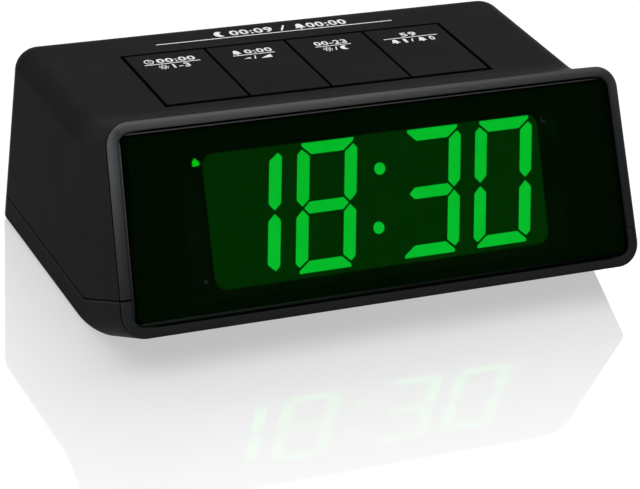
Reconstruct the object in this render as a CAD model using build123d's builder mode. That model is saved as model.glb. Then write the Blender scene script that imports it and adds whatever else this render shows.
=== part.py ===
"""A desk clock with a large leaning seven-segment display, built as separate pieces.

Millimetres. X runs across the clock, Y from its front to its back and Z up. The origin lies below
the middle of the housing, on the surface that the feet stand on.
"""
import os
from dataclasses import dataclass
from math import cos, radians, sin, sqrt, tan

from build123d import *

os.makedirs("parts", exist_ok=True)

# Housing
width = 140.0  # across the display surround at its lower edge
depth = 88.1  # front edge to back
body_height = 46.7  # underside to the flat top
face_height = 50.8  # display surround, up its slope
face_lean = 26.45  # degrees that the display leans back
side_draft = 1.9  # degrees that each side leans in
chin_height = 8.7  # underside to the surround's lower edge
parting_height = 6.0  # underside to the line between the two cases
parting_up = 9.4  # the same line on the surround, up its slope
parting_bend = 4.0
foot_stand = 0.8  # feet below the underside
wall = 2.0
face_wall = 3.6  # surround's front face to the inside of the front wall
corner_radius = 5.8  # surround corners and long top edges
rear_corner_radius = 6.5
brow_blend = 18.0  # hollow round where the brow meets the top
base_round = 0.6
overrun = 5.0  # cuts run this far past what they open

# Display surround
rim_width = 2.7
rim_round = 1.2
rim_inner_round = 0.8
groove_width = 0.3  # shadow line round the surround and between the cases
groove_depth = 0.4

# Display window
lens_recess = 0.3  # lens behind the surround
lens_thickness = 1.5
lens_gap = 0.12
lens_edge_round = 0.9
tape_thickness = 0.2
tape_edge = 0.5
film_thickness = 0.14
mask_side_gap = 8.0  # mask inside the surround's lower corners
mask_end_gap = 6.0  # mask inside the surround's top and bottom edges
mask_clearance = 0.1
window_half_width = 45.2
window_low = 8.65
window_high = 40.97
window_round = 3.0
filter_edge = 0.6  # filter inside the opening of the front wall

# Display module
module_half_width = 51.0
module_low = 6.0
module_high = 43.8
module_depth = 10.0
module_gap = 0.18  # module face behind the filter
opening_gap = 0.6
digit_height = 31.0
digit_width = 15.95
digit_pitch = 20.0
pair_offset = 24.17  # clock middle to the middle of each pair of digits
digit_up = 25.25  # digits' middle, up the face
digit_slant = 8.0  # degrees
upright_stroke = 3.3
level_stroke = 2.85
segment_gap = 0.55
corner_cut = 1.1
segment_fill = 6.0
colon_radius = 1.5
colon_spread = 7.1
mark_size = 2.0
bell_lip_share = 0.3
bell_waist_share = 0.55
bell_crown_share = 0.35
bell_tilt = -20.0  # degrees
moon_shift_share = 0.2
moon_bite_share = 0.85
dot_share = 0.3
alarm_mark_reach = 1.3  # past the window's side
alarm_mark_drop = 1.8  # under the window's top
dot_mark_reach = 2.4
dot_mark_rise = 2.5  # over the window's bottom
moon_mark_reach = 2.0
moon_mark_drop = 1.7
die_length = 1.0
die_width = 0.5
die_height = 0.4
mark_die_side = 0.35
moon_die_share = 0.22
pin_count = 14
pin_pitch = 5.08
pin_row = 33.0
pin_radius = 0.3
pin_length = 3.2
pin_gap = 0.06

# Circuit boards
board_thickness = 1.6
display_board_reach = 7.4  # past the module's side
display_board_low_reach = 1.0
display_board_high_reach = 2.2
display_screw_reach = 4.4
display_screw_low = 14.0
display_screw_high = 42.0
main_board_length = 57.0
main_board_side_gap = 12.9  # from the housing's side
main_board_front_gap = 35.85  # from the front edge
main_board_rear_gap = 5.85  # from the back
main_board_stand = 5.0  # above the floor
main_screw_inset = 4.5
key_board_reach = 7.9  # past the key row's side
key_board_inset = 1.4  # inside the key row's front and back
key_board_drop = 9.5  # below the flat top
key_screw_inset_x = 3.4
key_screw_inset_y = 4.0

# Screws and their posts
thread_gap = 0.05
hole_gap = 0.2
case_post_side_gap = 7.5  # post's middle to the housing's side
case_post_front_gap = 30.65  # to the front edge
case_post_rear_gap = 9.25  # to the back
case_post_radius = 3.2
case_column_radius = 4.0
column_rise = 1.5  # above the parting line
case_head_recess = 3.0
board_boss_radius = 2.3
pilot_depth = 7.0
case_pilot_depth = 13.0
case_screw_radius = 1.45
case_screw_length = 15.0
case_screw_head_radius = 2.75
case_screw_head_height = 2.0
case_screw_head_round = 0.5
case_screw_recess_reach = 2.8
case_screw_recess_width = 0.7
case_screw_recess_depth = 1.1
board_screw_radius = 1.1
board_screw_length = 7.6
board_screw_head_radius = 2.2
board_screw_head_height = 1.6
board_screw_head_round = 0.4
board_screw_recess_reach = 2.2
board_screw_recess_width = 0.6
board_screw_recess_depth = 0.8

# Key row
key_row_half_width = 45.1
key_row_front = 42.0  # behind the front edge
key_row_depth = 30.8
key_side_gap = 0.95  # keys to the sides of their opening
key_front_gap = 1.3
key_rear_gap = 0.7
key_gap = 0.7
key_count = 4
key_wall = 1.2
key_top = 1.8
key_edge_round = 0.25
key_flange_reach = 2.2  # past a key, front and back
key_flange_thickness = 1.2
key_flange_gap = 0.15
key_travel = 0.8
plunger_radius = 2.6
guide_radius = 1.3
guide_gap = 0.09
guide_spread = 9.0
guide_end = 1.2  # guide pins below the key board
switch_side = 6.0
switch_height = 3.6
switch_wall = 0.6
stem_radius = 1.7
stem_gap = 0.1
stem_rise = 1.5
stem_engagement = 1.4

# Power jack
jack_offset = 11.4  # from the main board's middle, towards the side
jack_width = 9.0
jack_height = 11.0
jack_length = 14.0
jack_bore_radius = 3.15
jack_bore_depth = 9.5
jack_centre_height = 6.2
jack_pin_radius = 1.0
jack_pin_setback = 1.7
jack_wall_gap = 0.25
jack_hole_radius = 4.8
jack_spring_thickness = 0.4
jack_spring_width = 3.0

# Back-up cells and their bay
cell_radius = 5.25
cell_length = 44.5
cell_nub_radius = 1.9
cell_nub_length = 1.2
cell_spacing = 11.3
cell_gap = 0.4
bay_x = -31.0
bay_y = 14.6
bay_wall = 1.4
bay_foot = 3.2
bay_foot_height = 2.0
contact_thickness = 0.4
contact_side = 7.6
leaf_depth = 4.5
leaf_width = 4.0
leaf_tip_share = 0.3
tag_rise = 2.2
tag_width = 3.0
tag_gap = 0.15

# Battery door
door_thickness = 1.6
door_overlap = 1.2
door_gap = 0.2
door_lift_gap = 0.1
door_bevel = 1.35
bead_radius = 0.6
bead_gap = 0.09
bead_length = 5.0
bead_spread = 30.0
latch_width = 8.0
latch_thickness = 1.0
latch_height = 1.3
latch_setback = 0.6
thumb_length = 12.0
thumb_width = 3.0
thumb_depth = 0.8

# Buzzer
buzzer_x = -34.0
buzzer_y = -12.0
buzzer_radius = 8.5
buzzer_height = 4.2
buzzer_gap = 0.15
buzzer_ring_wall = 1.3
buzzer_ring_height = 3.0
sound_hole_radius = 0.8
sound_hole_reach = 4.0
sound_hole_count = 6
buzzer_port_radius = 1.2
buzzer_port_depth = 0.8
buzzer_edge_round = 0.3

# Feet
foot_radius = 4.5
foot_sunk = 1.0
foot_gap = 0.1
foot_round = 0.3
foot_side_gap = 20.0  # pad's middle to the housing's side
foot_front_gap = 26.05  # to the front edge
foot_rear_gap = 8.05  # to the back

# Leads and ribbons
wire_radius = 0.5
wire_bend = 2.0
wire_rise = 2.6
ribbon_thickness = 0.9
ribbon_bend = 4.0
display_ribbon_width = 14.0
display_ribbon_x = 25.0
display_header_up = 24.0
display_ribbon_gap = 40.45  # its lower run behind the front edge
key_ribbon_width = 8.0
key_ribbon_y = 22.0
key_header_y = 17.0
header_margin = 1.2
header_thickness = 3.0
header_height = 3.2

# Parts on the boards
clock_chip_size = (18.0, 7.5, 2.4)
driver_chip_size = (10.0, 4.0, 1.7)
lead_width = 0.45
lead_reach = 1.1
lead_rise = 0.9
lead_pitch = 1.27
chip_end = 0.9
clock_chip_shares = (0.28, -0.12)
driver_chip_up = 33.0
driver_chip_spread = 44.0
crystal_radius = 1.1
crystal_length = 6.2
crystal_shares = (-0.35, -0.12)
crystal_pin_radius = 0.2
crystal_pin_length = 1.8
can_radius = 4.0
can_height = 11.5
can_round = 0.5
can_shares = ((-0.72, 0.42), (-0.3, 0.66))
regulator_size = (6.5, 6.1, 2.3)
regulator_tab = (5.2, 1.5, 0.5)
regulator_shares = (0.1, 0.62)
diode_size = (4.4, 2.6, 2.2)
diode_shares = ((0.78, 0.3), (0.78, 0.12), (0.78, -0.06))
resistor_size = (2.0, 1.25, 0.5)
resistor_count = 6
resistor_rows = 2
resistor_pitch = 3.6
resistor_row_pitch = 3.0
resistor_shares = (-0.3, -0.45)
display_resistor_count = 14
display_resistor_up = 38.5

# Places worked out from the sizes above
lean = radians(face_lean)
draft = tan(radians(side_draft))
slant = tan(radians(digit_slant))
base_z = foot_stand
floor_z = base_z + wall
chin_z = base_z + chin_height
parting_z = base_z + parting_height
post_joint_z = parting_z + column_rise
top_z = base_z + body_height
ceiling_z = top_z - wall
front_y = -depth / 2 - rim_round * (sin(lean) + cos(lean) - 1)
face_plane = Plane(origin=(0, front_y, chin_z), x_dir=(1, 0, 0), z_dir=(0, -cos(lean), sin(lean)))
face_axis = Axis(face_plane.origin, face_plane.z_dir)
case_post_places = [
    (side * (width / 2 - case_post_side_gap), post_y)
    for side in (-1, 1)
    for post_y in (case_post_front_gap - depth / 2, depth / 2 - case_post_rear_gap)
]
foot_places = [
    (side * (width / 2 - foot_side_gap), foot_y)
    for side in (-1, 1)
    for foot_y in (foot_front_gap - depth / 2, depth / 2 - foot_rear_gap)
]

lens_front = lens_recess
lens_back = lens_front + lens_thickness
lens_seat = lens_back + tape_thickness
mask_back = lens_back + film_thickness
filter_back = mask_back + film_thickness
module_front = filter_back + module_gap
module_back = module_front + module_depth
display_board_back = module_back + board_thickness
mask_half_width = width / 2 - mask_side_gap
mask_low = mask_end_gap
mask_high = face_height - mask_end_gap
alarm_mark_at = (-window_half_width - alarm_mark_reach, window_high - alarm_mark_drop)
dot_mark_at = (-window_half_width - dot_mark_reach, window_low + dot_mark_rise)
moon_mark_at = (window_half_width + moon_mark_reach, window_high - moon_mark_drop)
display_board_half_width = module_half_width + display_board_reach
display_board_low = module_low - display_board_low_reach
display_board_high = module_high + display_board_high_reach
display_screw_x = module_half_width + display_screw_reach
opening_half_width = module_half_width + opening_gap
opening_low = module_low - opening_gap
opening_high = module_high + opening_gap

main_board_x = width / 2 - main_board_side_gap - main_board_length / 2
main_board_width = depth - main_board_front_gap - main_board_rear_gap
main_board_y = (main_board_front_gap - main_board_rear_gap) / 2
main_board_z = floor_z + main_board_stand
main_board_top = main_board_z + board_thickness
main_screw_places = [
    (main_board_x + side_x * (main_board_length / 2 - main_screw_inset),
     main_board_y + side_y * (main_board_width / 2 - main_screw_inset))
    for side_x in (-1, 1)
    for side_y in (-1, 1)
]

key_row_y = -depth / 2 + key_row_front + key_row_depth / 2
key_y = key_row_y + (key_front_gap - key_rear_gap) / 2
key_width = (2 * key_row_half_width - 2 * key_side_gap - (key_count - 1) * key_gap) / key_count
key_depth = key_row_depth - key_front_gap - key_rear_gap
key_pitch = key_width + key_gap
key_places = [(index - (key_count - 1) / 2) * key_pitch for index in range(key_count)]
key_flange_top = ceiling_z - key_flange_gap
key_bottom = key_flange_top - key_flange_thickness
key_board_top = top_z - key_board_drop
key_board_bottom = key_board_top - board_thickness
switch_top = key_board_top + switch_height
stem_top = switch_top + stem_rise
stem_bottom = switch_top - stem_engagement
key_board_length = 2 * (key_row_half_width + key_board_reach)
key_board_width = key_row_depth - 2 * key_board_inset
key_screw_places = [
    (side_x * (key_board_length / 2 - key_screw_inset_x),
     key_y + side_y * (key_board_width / 2 - key_screw_inset_y))
    for side_x in (-1, 1)
    for side_y in (-1, 1)
]

jack_x = main_board_x + jack_offset
jack_z = main_board_top + jack_centre_height
jack_mouth_y = depth / 2 - wall - jack_wall_gap

door_top = base_z + door_thickness
cell_z = door_top + door_lift_gap + cell_gap + cell_radius
bay_length = cell_length + leaf_depth + contact_thickness
bay_width = cell_spacing + 2 * (cell_radius + cell_gap)
bay_ceiling = cell_z + cell_radius + cell_gap
bay_top = bay_ceiling + bay_wall
bay_low_x = bay_x - bay_length / 2
bay_high_x = bay_x + bay_length / 2
cell_front_y = bay_y - cell_spacing / 2
cell_rear_y = bay_y + cell_spacing / 2
door_opening_z = door_top + door_lift_gap
door_hinge_y = bay_y + bay_width / 2 + door_overlap
door_hinge_z = door_top + door_gap
tag_z = bay_top + tag_rise

buzzer_z = floor_z
buzzer_top = buzzer_z + buzzer_height


@dataclass(frozen=True)
class Screw:
    """One size of cross-recess screw, with its head above the plane that it seats on."""

    radius: float
    length: float
    head_radius: float
    head_height: float
    head_round: float
    recess_reach: float
    recess_width: float
    recess_depth: float


case_screw = Screw(
    case_screw_radius,
    case_screw_length,
    case_screw_head_radius,
    case_screw_head_height,
    case_screw_head_round,
    case_screw_recess_reach,
    case_screw_recess_width,
    case_screw_recess_depth,
)
board_screw = Screw(
    board_screw_radius,
    board_screw_length,
    board_screw_head_radius,
    board_screw_head_height,
    board_screw_head_round,
    board_screw_recess_reach,
    board_screw_recess_width,
    board_screw_recess_depth,
)
case_head_radius = case_screw.head_radius + hole_gap


def write(piece: BuildPart, name: str) -> None:
    """Label a finished piece and write it to its own file."""
    piece.part.label = name
    export_step(piece.part, f"parts/{name}.step")


def side_point(up: float, deep: float) -> tuple[float, float]:
    """The side view's point that is some way up the face and some way behind it."""
    return (
        front_y + up * sin(lean) + deep * cos(lean),
        chin_z + up * cos(lean) - deep * sin(lean),
    )


def deep_at(up: float, level: float) -> float:
    """How far behind the face a line square to it comes down to a level."""
    return (chin_z + up * cos(lean) - level) / sin(lean)


def half_width_at(level: float) -> float:
    """Half the housing's width at a level, between its drafted sides."""
    return width / 2 - (level - chin_z) * draft


def housing_form(inset: float, face_inset: float) -> Part:
    """The closed outer form of the housing, drawn in on every side."""
    round_radius = corner_radius - inset
    low = base_z + inset
    high = top_z - inset
    brow_up = face_height - inset
    keel_deep = deep_at(corner_radius, base_z) + overrun
    keel_y, keel_z = side_point(inset, keel_deep)
    crown_z = chin_z + face_height
    with BuildPart() as form:
        with BuildSketch(Plane.YZ) as profile:
            with BuildLine():
                Polyline(
                    side_point(inset, face_inset),
                    side_point(brow_up, face_inset),
                    side_point(brow_up, deep_at(brow_up, high)),
                    (depth / 2 - inset, high),
                    (depth / 2 - inset, keel_z),
                    (keel_y, keel_z),
                    close=True,
                )
            make_face()
            brow = side_point(brow_up, deep_at(brow_up, high))
            fillet(profile.vertices().sort_by_distance(brow)[0], brow_blend + inset)
        extrude(amount=width, both=True)
        with BuildSketch(Plane.XZ):
            with BuildLine():
                Polyline(
                    (inset - half_width_at(keel_z), keel_z),
                    (half_width_at(keel_z) - inset, keel_z),
                    (half_width_at(crown_z) - inset, crown_z),
                    (inset - half_width_at(crown_z), crown_z),
                    close=True,
                )
            make_face()
        extrude(amount=depth, both=True, mode=Mode.INTERSECT)
        rear_face = form.faces().sort_by(Axis.Y)[-1]
        fillet(rear_face.edges().filter_by(Axis.X, reverse=True), rear_corner_radius - inset)
        chin_face = form.faces().sort_by(lambda face: face.normal_at().dot(face_plane.y_dir))[0]
        fillet(chin_face.edges().filter_by(Axis.X, reverse=True), round_radius)
        top_face = form.faces().sort_by(lambda face: face.normal_at().Z)[-1]
        fillet(top_face.edges().filter_by(Axis.X, reverse=True), round_radius)
        split(bisect_by=Plane.XY.offset(low), keep=Keep.TOP)
    return form.part


def face_outline(inset: float) -> Sketch:
    """The display surround's outline in the face's own plane, drawn in on every side."""
    low, high = inset, face_height - inset
    half_low = half_width_at(chin_z + low * cos(lean)) - inset
    half_high = half_width_at(chin_z + high * cos(lean)) - inset
    with BuildSketch() as outline:
        with BuildLine():
            Polyline(
                (-half_low, low), (half_low, low), (half_high, high), (-half_high, high), close=True
            )
        make_face()
        fillet(outline.vertices(), corner_radius - inset)
    return outline.sketch


def face_rectangle(half_width: float, low: float, high: float, mode: Mode = Mode.ADD) -> None:
    """A rectangle on the face, between two heights up it."""
    with Locations((0, (low + high) / 2)):
        Rectangle(2 * half_width, high - low, mode=mode)


def below_parting(rise: float) -> Part:
    """All the space under the parting line, with the line raised."""
    up, level = parting_up + rise, parting_z + rise
    with BuildPart() as block:
        with BuildSketch(Plane.YZ) as profile:
            with BuildLine():
                Polyline(
                    side_point(up, -overrun),
                    side_point(up, deep_at(up, level)),
                    (depth, level),
                    (depth, -depth),
                    (-depth, -depth),
                    close=True,
                )
            make_face()
            bend = side_point(up, deep_at(up, level))
            fillet(profile.vertices().sort_by_distance(bend)[0], parting_bend)
        extrude(amount=width, both=True)
    return block.part


def screws(seat: Plane, places: list, size: Screw) -> Part:
    """A group of like screws whose heads rest on one plane."""
    with BuildPart() as group:
        with BuildSketch(seat):
            with Locations(*places):
                Circle(size.head_radius)
        extrude(amount=size.head_height)
        seat_axis = Axis(seat.origin, seat.z_dir)
        fillet(group.edges().group_by(seat_axis)[-1], size.head_round)
        with BuildSketch(seat):
            with Locations(*places):
                Circle(size.radius)
        extrude(amount=-size.length)
        with BuildSketch(seat.offset(size.head_height - size.recess_depth)):
            with Locations(*places):
                Rectangle(size.recess_reach, size.recess_width)
                Rectangle(size.recess_width, size.recess_reach)
        extrude(amount=size.recess_depth, mode=Mode.SUBTRACT)
    return group.part


# Housing, still in one piece: outer form, hollow, surround and lens seat
with BuildPart() as housing:
    add(housing_form(0, 0))
    fillet(housing.faces().sort_by(Axis.Z)[0].edges(), base_round)
    fillet(housing.faces().sort_by(face_axis)[-1].edges(), rim_round)
    add(housing_form(wall, face_wall), mode=Mode.SUBTRACT)
    with BuildSketch(face_plane.offset(-lens_seat)):
        add(face_outline(rim_width))
    extrude(amount=lens_seat + overrun, mode=Mode.SUBTRACT)
    rim_face = housing.faces().sort_by(face_axis)[-1]
    fillet(rim_face.inner_wires()[0].edges(), rim_inner_round)
    with BuildSketch(face_plane.offset(-face_wall - overrun)):
        face_rectangle(opening_half_width, opening_low, opening_high)
    extrude(amount=face_wall + overrun, mode=Mode.SUBTRACT)
    with BuildSketch(face_plane.offset(-rim_round - groove_width)):
        add(face_outline(-overrun))
        add(face_outline(groove_depth), mode=Mode.SUBTRACT)
    extrude(amount=groove_width, mode=Mode.SUBTRACT)

# Shadow line between the two cases
with BuildPart() as parting_groove:
    add(below_parting(groove_width))
    add(below_parting(0), mode=Mode.SUBTRACT)
    add(housing_form(groove_depth, groove_depth), mode=Mode.SUBTRACT)

# Posts that hang in the upper case, trimmed to its inside
with BuildPart() as upper_posts:
    with BuildSketch(Plane.XY.offset(post_joint_z)):
        with Locations(*case_post_places):
            Circle(case_post_radius)
    extrude(amount=body_height)
    with BuildSketch(Plane.XY.offset(key_board_top)):
        with Locations(*key_screw_places):
            Circle(board_boss_radius)
    extrude(amount=key_board_drop)
    display_screw_places = [
        (side * display_screw_x, up)
        for side in (-1, 1)
        for up in (display_screw_low, display_screw_high)
    ]
    with BuildSketch(face_plane.offset(-module_back)):
        with Locations(*display_screw_places):
            Circle(board_boss_radius)
    extrude(amount=module_back)
    add(housing_form(wall / 2, (lens_seat + face_wall) / 2), mode=Mode.INTERSECT)

# Upper case
with BuildPart() as upper_case:
    add(housing.part)
    add(below_parting(0), mode=Mode.SUBTRACT)
    add(parting_groove.part, mode=Mode.SUBTRACT)
    add(upper_posts.part)
    with BuildSketch(Plane.XY.offset(ceiling_z - overrun)):
        with Locations((0, key_row_y)):
            Rectangle(2 * key_row_half_width, key_row_depth)
    extrude(amount=wall + 2 * overrun, mode=Mode.SUBTRACT)
    with BuildSketch(Plane.XZ.offset(-jack_mouth_y)):
        with Locations((jack_x, jack_z)):
            Circle(jack_hole_radius)
    extrude(amount=-wall - overrun, mode=Mode.SUBTRACT)
    with BuildSketch(Plane.XY.offset(post_joint_z)):
        with Locations(*case_post_places):
            Circle(case_screw.radius + thread_gap)
    extrude(amount=case_pilot_depth, mode=Mode.SUBTRACT)
    with BuildSketch(Plane.XY.offset(key_board_top)):
        with Locations(*key_screw_places):
            Circle(board_screw.radius + thread_gap)
    extrude(amount=pilot_depth, mode=Mode.SUBTRACT)
    with BuildSketch(face_plane.offset(-module_back)):
        with Locations(*display_screw_places):
            Circle(board_screw.radius + thread_gap)
    extrude(amount=pilot_depth, mode=Mode.SUBTRACT)
write(upper_case, "upper_case")

# Lower case: tray, screw columns, standoffs, battery bay and buzzer ring
with BuildPart() as lower_case:
    add(housing.part)
    add(below_parting(0), mode=Mode.INTERSECT)
    with BuildSketch(Plane.XY.offset(floor_z)):
        with Locations(*case_post_places):
            Circle(case_column_radius)
    extrude(amount=post_joint_z - floor_z)
    with BuildSketch(Plane.XY.offset(floor_z)):
        with Locations(*main_screw_places):
            Circle(board_boss_radius)
    extrude(amount=main_board_stand)
    with BuildSketch(Plane.XY.offset(floor_z)):
        with Locations((buzzer_x, buzzer_y)):
            Circle(buzzer_radius + buzzer_gap + buzzer_ring_wall)
            Circle(buzzer_radius + buzzer_gap, mode=Mode.SUBTRACT)
    extrude(amount=buzzer_ring_height)
    with BuildSketch(Plane.XY.offset(floor_z)):
        with Locations((bay_x, bay_y)):
            Rectangle(bay_length + 2 * bay_wall, bay_width + 2 * bay_wall)
    extrude(amount=bay_top - floor_z)
    with BuildSketch(Plane.XY.offset(floor_z)):
        with Locations((bay_x, bay_y)):
            Rectangle(bay_length + 2 * bay_foot, bay_width + 2 * bay_foot)
    extrude(amount=bay_foot_height)
    with BuildSketch(Plane.XY.offset(base_z - overrun)):
        with Locations((bay_x, bay_y)):
            Rectangle(bay_length, bay_width)
    extrude(amount=bay_ceiling - base_z + overrun, mode=Mode.SUBTRACT)
    with BuildSketch(Plane.XY.offset(base_z - overrun)):
        with Locations((bay_x, bay_y)):
            Rectangle(bay_length + 2 * door_overlap, bay_width + 2 * door_overlap)
    extrude(amount=door_opening_z - base_z + overrun, mode=Mode.SUBTRACT)
    for side in (-1, 1):
        bead_start = bay_x + side * bead_spread / 2 - bead_length / 2 - door_gap
        with BuildSketch(Plane.YZ.offset(bead_start)):
            with Locations((door_hinge_y, door_hinge_z)):
                Circle(bead_radius + bead_gap)
        extrude(amount=bead_length + 2 * door_gap, mode=Mode.SUBTRACT)
    with BuildSketch(Plane.XY.offset(base_z)):
        with Locations((bay_x, bay_y - bay_width / 2 - door_overlap - thumb_width / 2)):
            SlotOverall(thumb_length, thumb_width)
    extrude(amount=thumb_depth, mode=Mode.SUBTRACT)
    tag_sides = ((bay_high_x, -1, cell_front_y), (bay_high_x, -1, cell_rear_y))
    with BuildSketch(Plane.XY.offset(bay_ceiling - overrun)):
        for end_x, inward, tag_y in tag_sides:
            with Locations((end_x + inward * contact_thickness / 2, tag_y)):
                Rectangle(contact_thickness + 2 * tag_gap, tag_width + 2 * tag_gap)
    extrude(amount=bay_wall + 2 * overrun, mode=Mode.SUBTRACT)
    with BuildSketch(Plane.XY.offset(base_z)):
        with Locations(*case_post_places):
            Circle(case_screw.radius + hole_gap)
    extrude(amount=body_height, mode=Mode.SUBTRACT)
    with BuildSketch(Plane.XY.offset(base_z)):
        with Locations(*case_post_places):
            Circle(case_head_radius)
    extrude(amount=case_head_recess, mode=Mode.SUBTRACT)
    with BuildSketch(Plane.XY.offset(main_board_z)):
        with Locations(*main_screw_places):
            Circle(board_screw.radius + thread_gap)
    extrude(amount=board_thickness - board_screw.length, mode=Mode.SUBTRACT)
    with BuildSketch(Plane.XY.offset(base_z)):
        with Locations(*foot_places):
            Circle(foot_radius + foot_gap)
    extrude(amount=foot_sunk, mode=Mode.SUBTRACT)
    with BuildSketch(Plane.XY.offset(base_z)):
        with Locations((buzzer_x, buzzer_y)):
            Circle(sound_hole_radius)
            with PolarLocations(sound_hole_reach, sound_hole_count):
                Circle(sound_hole_radius)
    extrude(amount=wall, mode=Mode.SUBTRACT)
write(lower_case, "lower_case")

# Screws that close the housing from below
with BuildPart() as case_screws:
    head_seat = Plane(
        origin=(0, 0, base_z + case_head_recess), x_dir=(1, 0, 0), z_dir=(0, 0, -1)
    )
    mirrored_places = [(post_x, -post_y) for post_x, post_y in case_post_places]
    add(screws(head_seat, mirrored_places, case_screw))
write(case_screws, "case_screws")

# Rubber feet
with BuildPart() as feet:
    with BuildSketch():
        with Locations(*foot_places):
            Circle(foot_radius)
    extrude(amount=foot_stand + foot_sunk)
    fillet(feet.edges().group_by(Axis.Z)[0], foot_round)
write(feet, "feet")

# Tinted lens
with BuildPart() as display_lens:
    with BuildSketch(face_plane.offset(-lens_back)):
        add(face_outline(rim_width + lens_gap))
    extrude(amount=lens_thickness)
    fillet(display_lens.faces().sort_by(face_axis)[-1].edges(), lens_edge_round)
write(display_lens, "display_lens")

# Tape that holds the lens on its seat
with BuildPart() as lens_tape:
    with BuildSketch(face_plane.offset(-lens_seat)):
        add(face_outline(rim_width + tape_edge))
        face_rectangle(
            mask_half_width + mask_clearance,
            mask_low - mask_clearance,
            mask_high + mask_clearance,
            Mode.SUBTRACT,
        )
    extrude(amount=tape_thickness)
write(lens_tape, "lens_tape")


def digit_points(letter: str) -> list[tuple[float, float]]:
    """One upright segment's outline about its digit's middle, lettered in the usual order."""
    half_out, half_in = digit_width / 2, digit_width / 2 - upright_stroke
    high_out, high_in = digit_height / 2, digit_height / 2 - level_stroke
    middle = (half_out + half_in) / 2
    step = segment_gap / sqrt(2)
    if letter in "ad":
        points = [
            (step - half_in, high_in),
            (half_in - step, high_in),
            (half_out - corner_cut, high_out - corner_cut + step),
            (half_out - corner_cut, high_out),
            (corner_cut - half_out, high_out),
            (corner_cut - half_out, high_out - corner_cut + step),
        ]
    elif letter == "g":
        reach = middle - step
        shoulder = reach - level_stroke / 2
        points = [
            (-reach, 0),
            (-shoulder, level_stroke / 2),
            (shoulder, level_stroke / 2),
            (reach, 0),
            (shoulder, -level_stroke / 2),
            (-shoulder, -level_stroke / 2),
        ]
    else:
        points = [
            (half_in, high_in - step),
            (half_out - corner_cut, high_out - corner_cut - step),
            (half_out, high_out - 2 * corner_cut - step),
            (half_out, step + upright_stroke / 2),
            (middle, step),
            (half_in, step + upright_stroke / 2),
        ]
    flip_x = -1 if letter in "ef" else 1
    flip_y = -1 if letter in "cde" else 1
    return [(flip_x * point_x, flip_y * point_y) for point_x, point_y in points]


def segment_points(digit_x: float, letter: str) -> list[tuple[float, float]]:
    """A slanted segment's outline in the face's plane."""
    return [
        (digit_x + point_x + slant * point_y, digit_up + point_y)
        for point_x, point_y in digit_points(letter)
    ]


digit_places = [
    side * pair_offset + step * digit_pitch / 2 for side in (-1, 1) for step in (-1, 1)
]
lit_letters = {"1": "bc", "8": "abcdefg", "3": "abcdg", "0": "abcdef"}
lit_outlines = []
unlit_outlines = []
for digit_x, digit in zip(digit_places, "1830"):
    for letter in "abcdefg":
        group = lit_outlines if letter in lit_letters[digit] else unlit_outlines
        group.append(segment_points(digit_x, letter))
colon_places = [
    (side * colon_spread * slant, digit_up + side * colon_spread) for side in (-1, 1)
]


def bell_mark() -> Sketch:
    """A small tilted bell."""
    half = mark_size / 2
    lip, waist, crown = half * bell_lip_share, half * bell_waist_share, half * bell_crown_share
    with BuildSketch() as bell:
        with BuildLine():
            Polyline((crown, 0), (crown, waist), (-crown, half), (-half, half), (-half, -half),
                     (-crown, -half), (crown, -waist), (crown, 0))
        make_face()
        with Locations((crown, 0)):
            Circle(waist)
        with Locations((-half, 0)):
            Circle(lip)
    return bell.sketch


def moon_mark() -> Sketch:
    """A small crescent."""
    with BuildSketch() as moon:
        Circle(mark_size / 2)
        with Locations((mark_size * moon_shift_share, mark_size * moon_shift_share)):
            Circle(mark_size / 2 * moon_bite_share, mode=Mode.SUBTRACT)
    return moon.sketch


def dot_mark() -> Sketch:
    """A small dot."""
    with BuildSketch() as dot:
        Circle(mark_size * dot_share)
    return dot.sketch


def lay_alarm_mark(mode: Mode = Mode.ADD) -> None:
    """Lay the mark that is lit at its place on the face."""
    with Locations(Location(alarm_mark_at, bell_tilt)):
        add(bell_mark(), mode=mode)


def lay_idle_marks(mode: Mode = Mode.ADD) -> None:
    """Lay the two marks that are dark at their places on the face."""
    with Locations(dot_mark_at):
        add(dot_mark(), mode=mode)
    with Locations(moon_mark_at):
        add(moon_mark(), mode=mode)


# Black mask behind the lens, clear over the digits and marks
with BuildPart() as mask_film:
    with BuildSketch(face_plane.offset(-mask_back)):
        face_rectangle(mask_half_width, mask_low, mask_high)
        with Locations((0, (window_low + window_high) / 2)):
            RectangleRounded(
                2 * window_half_width, window_high - window_low, window_round, mode=Mode.SUBTRACT
            )
        lay_alarm_mark(Mode.SUBTRACT)
        lay_idle_marks(Mode.SUBTRACT)
    extrude(amount=film_thickness)
write(mask_film, "mask_film")

# Green filter behind the mask
with BuildPart() as filter_film:
    with BuildSketch(face_plane.offset(-filter_back)):
        face_rectangle(
            opening_half_width - filter_edge, opening_low + filter_edge, opening_high - filter_edge
        )
    extrude(amount=film_thickness)
write(filter_film, "filter_film")

# Display module: reflector block with a cavity for each segment
with BuildPart() as display_housing:
    with BuildSketch(face_plane.offset(-module_back)):
        face_rectangle(module_half_width, module_low, module_high)
        for outline in lit_outlines + unlit_outlines:
            Polygon(*outline, align=None, mode=Mode.SUBTRACT)
        with Locations(*colon_places):
            Circle(colon_radius, mode=Mode.SUBTRACT)
        lay_alarm_mark(Mode.SUBTRACT)
        lay_idle_marks(Mode.SUBTRACT)
    extrude(amount=module_depth)
write(display_housing, "display_housing")

with BuildPart() as lit_segments:
    with BuildSketch(face_plane.offset(-module_front)):
        for outline in lit_outlines:
            Polygon(*outline, align=None)
    extrude(amount=-segment_fill)
write(lit_segments, "lit_segments")

with BuildPart() as unlit_segments:
    with BuildSketch(face_plane.offset(-module_front)):
        for outline in unlit_outlines:
            Polygon(*outline, align=None)
    extrude(amount=-segment_fill)
write(unlit_segments, "unlit_segments")

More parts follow.
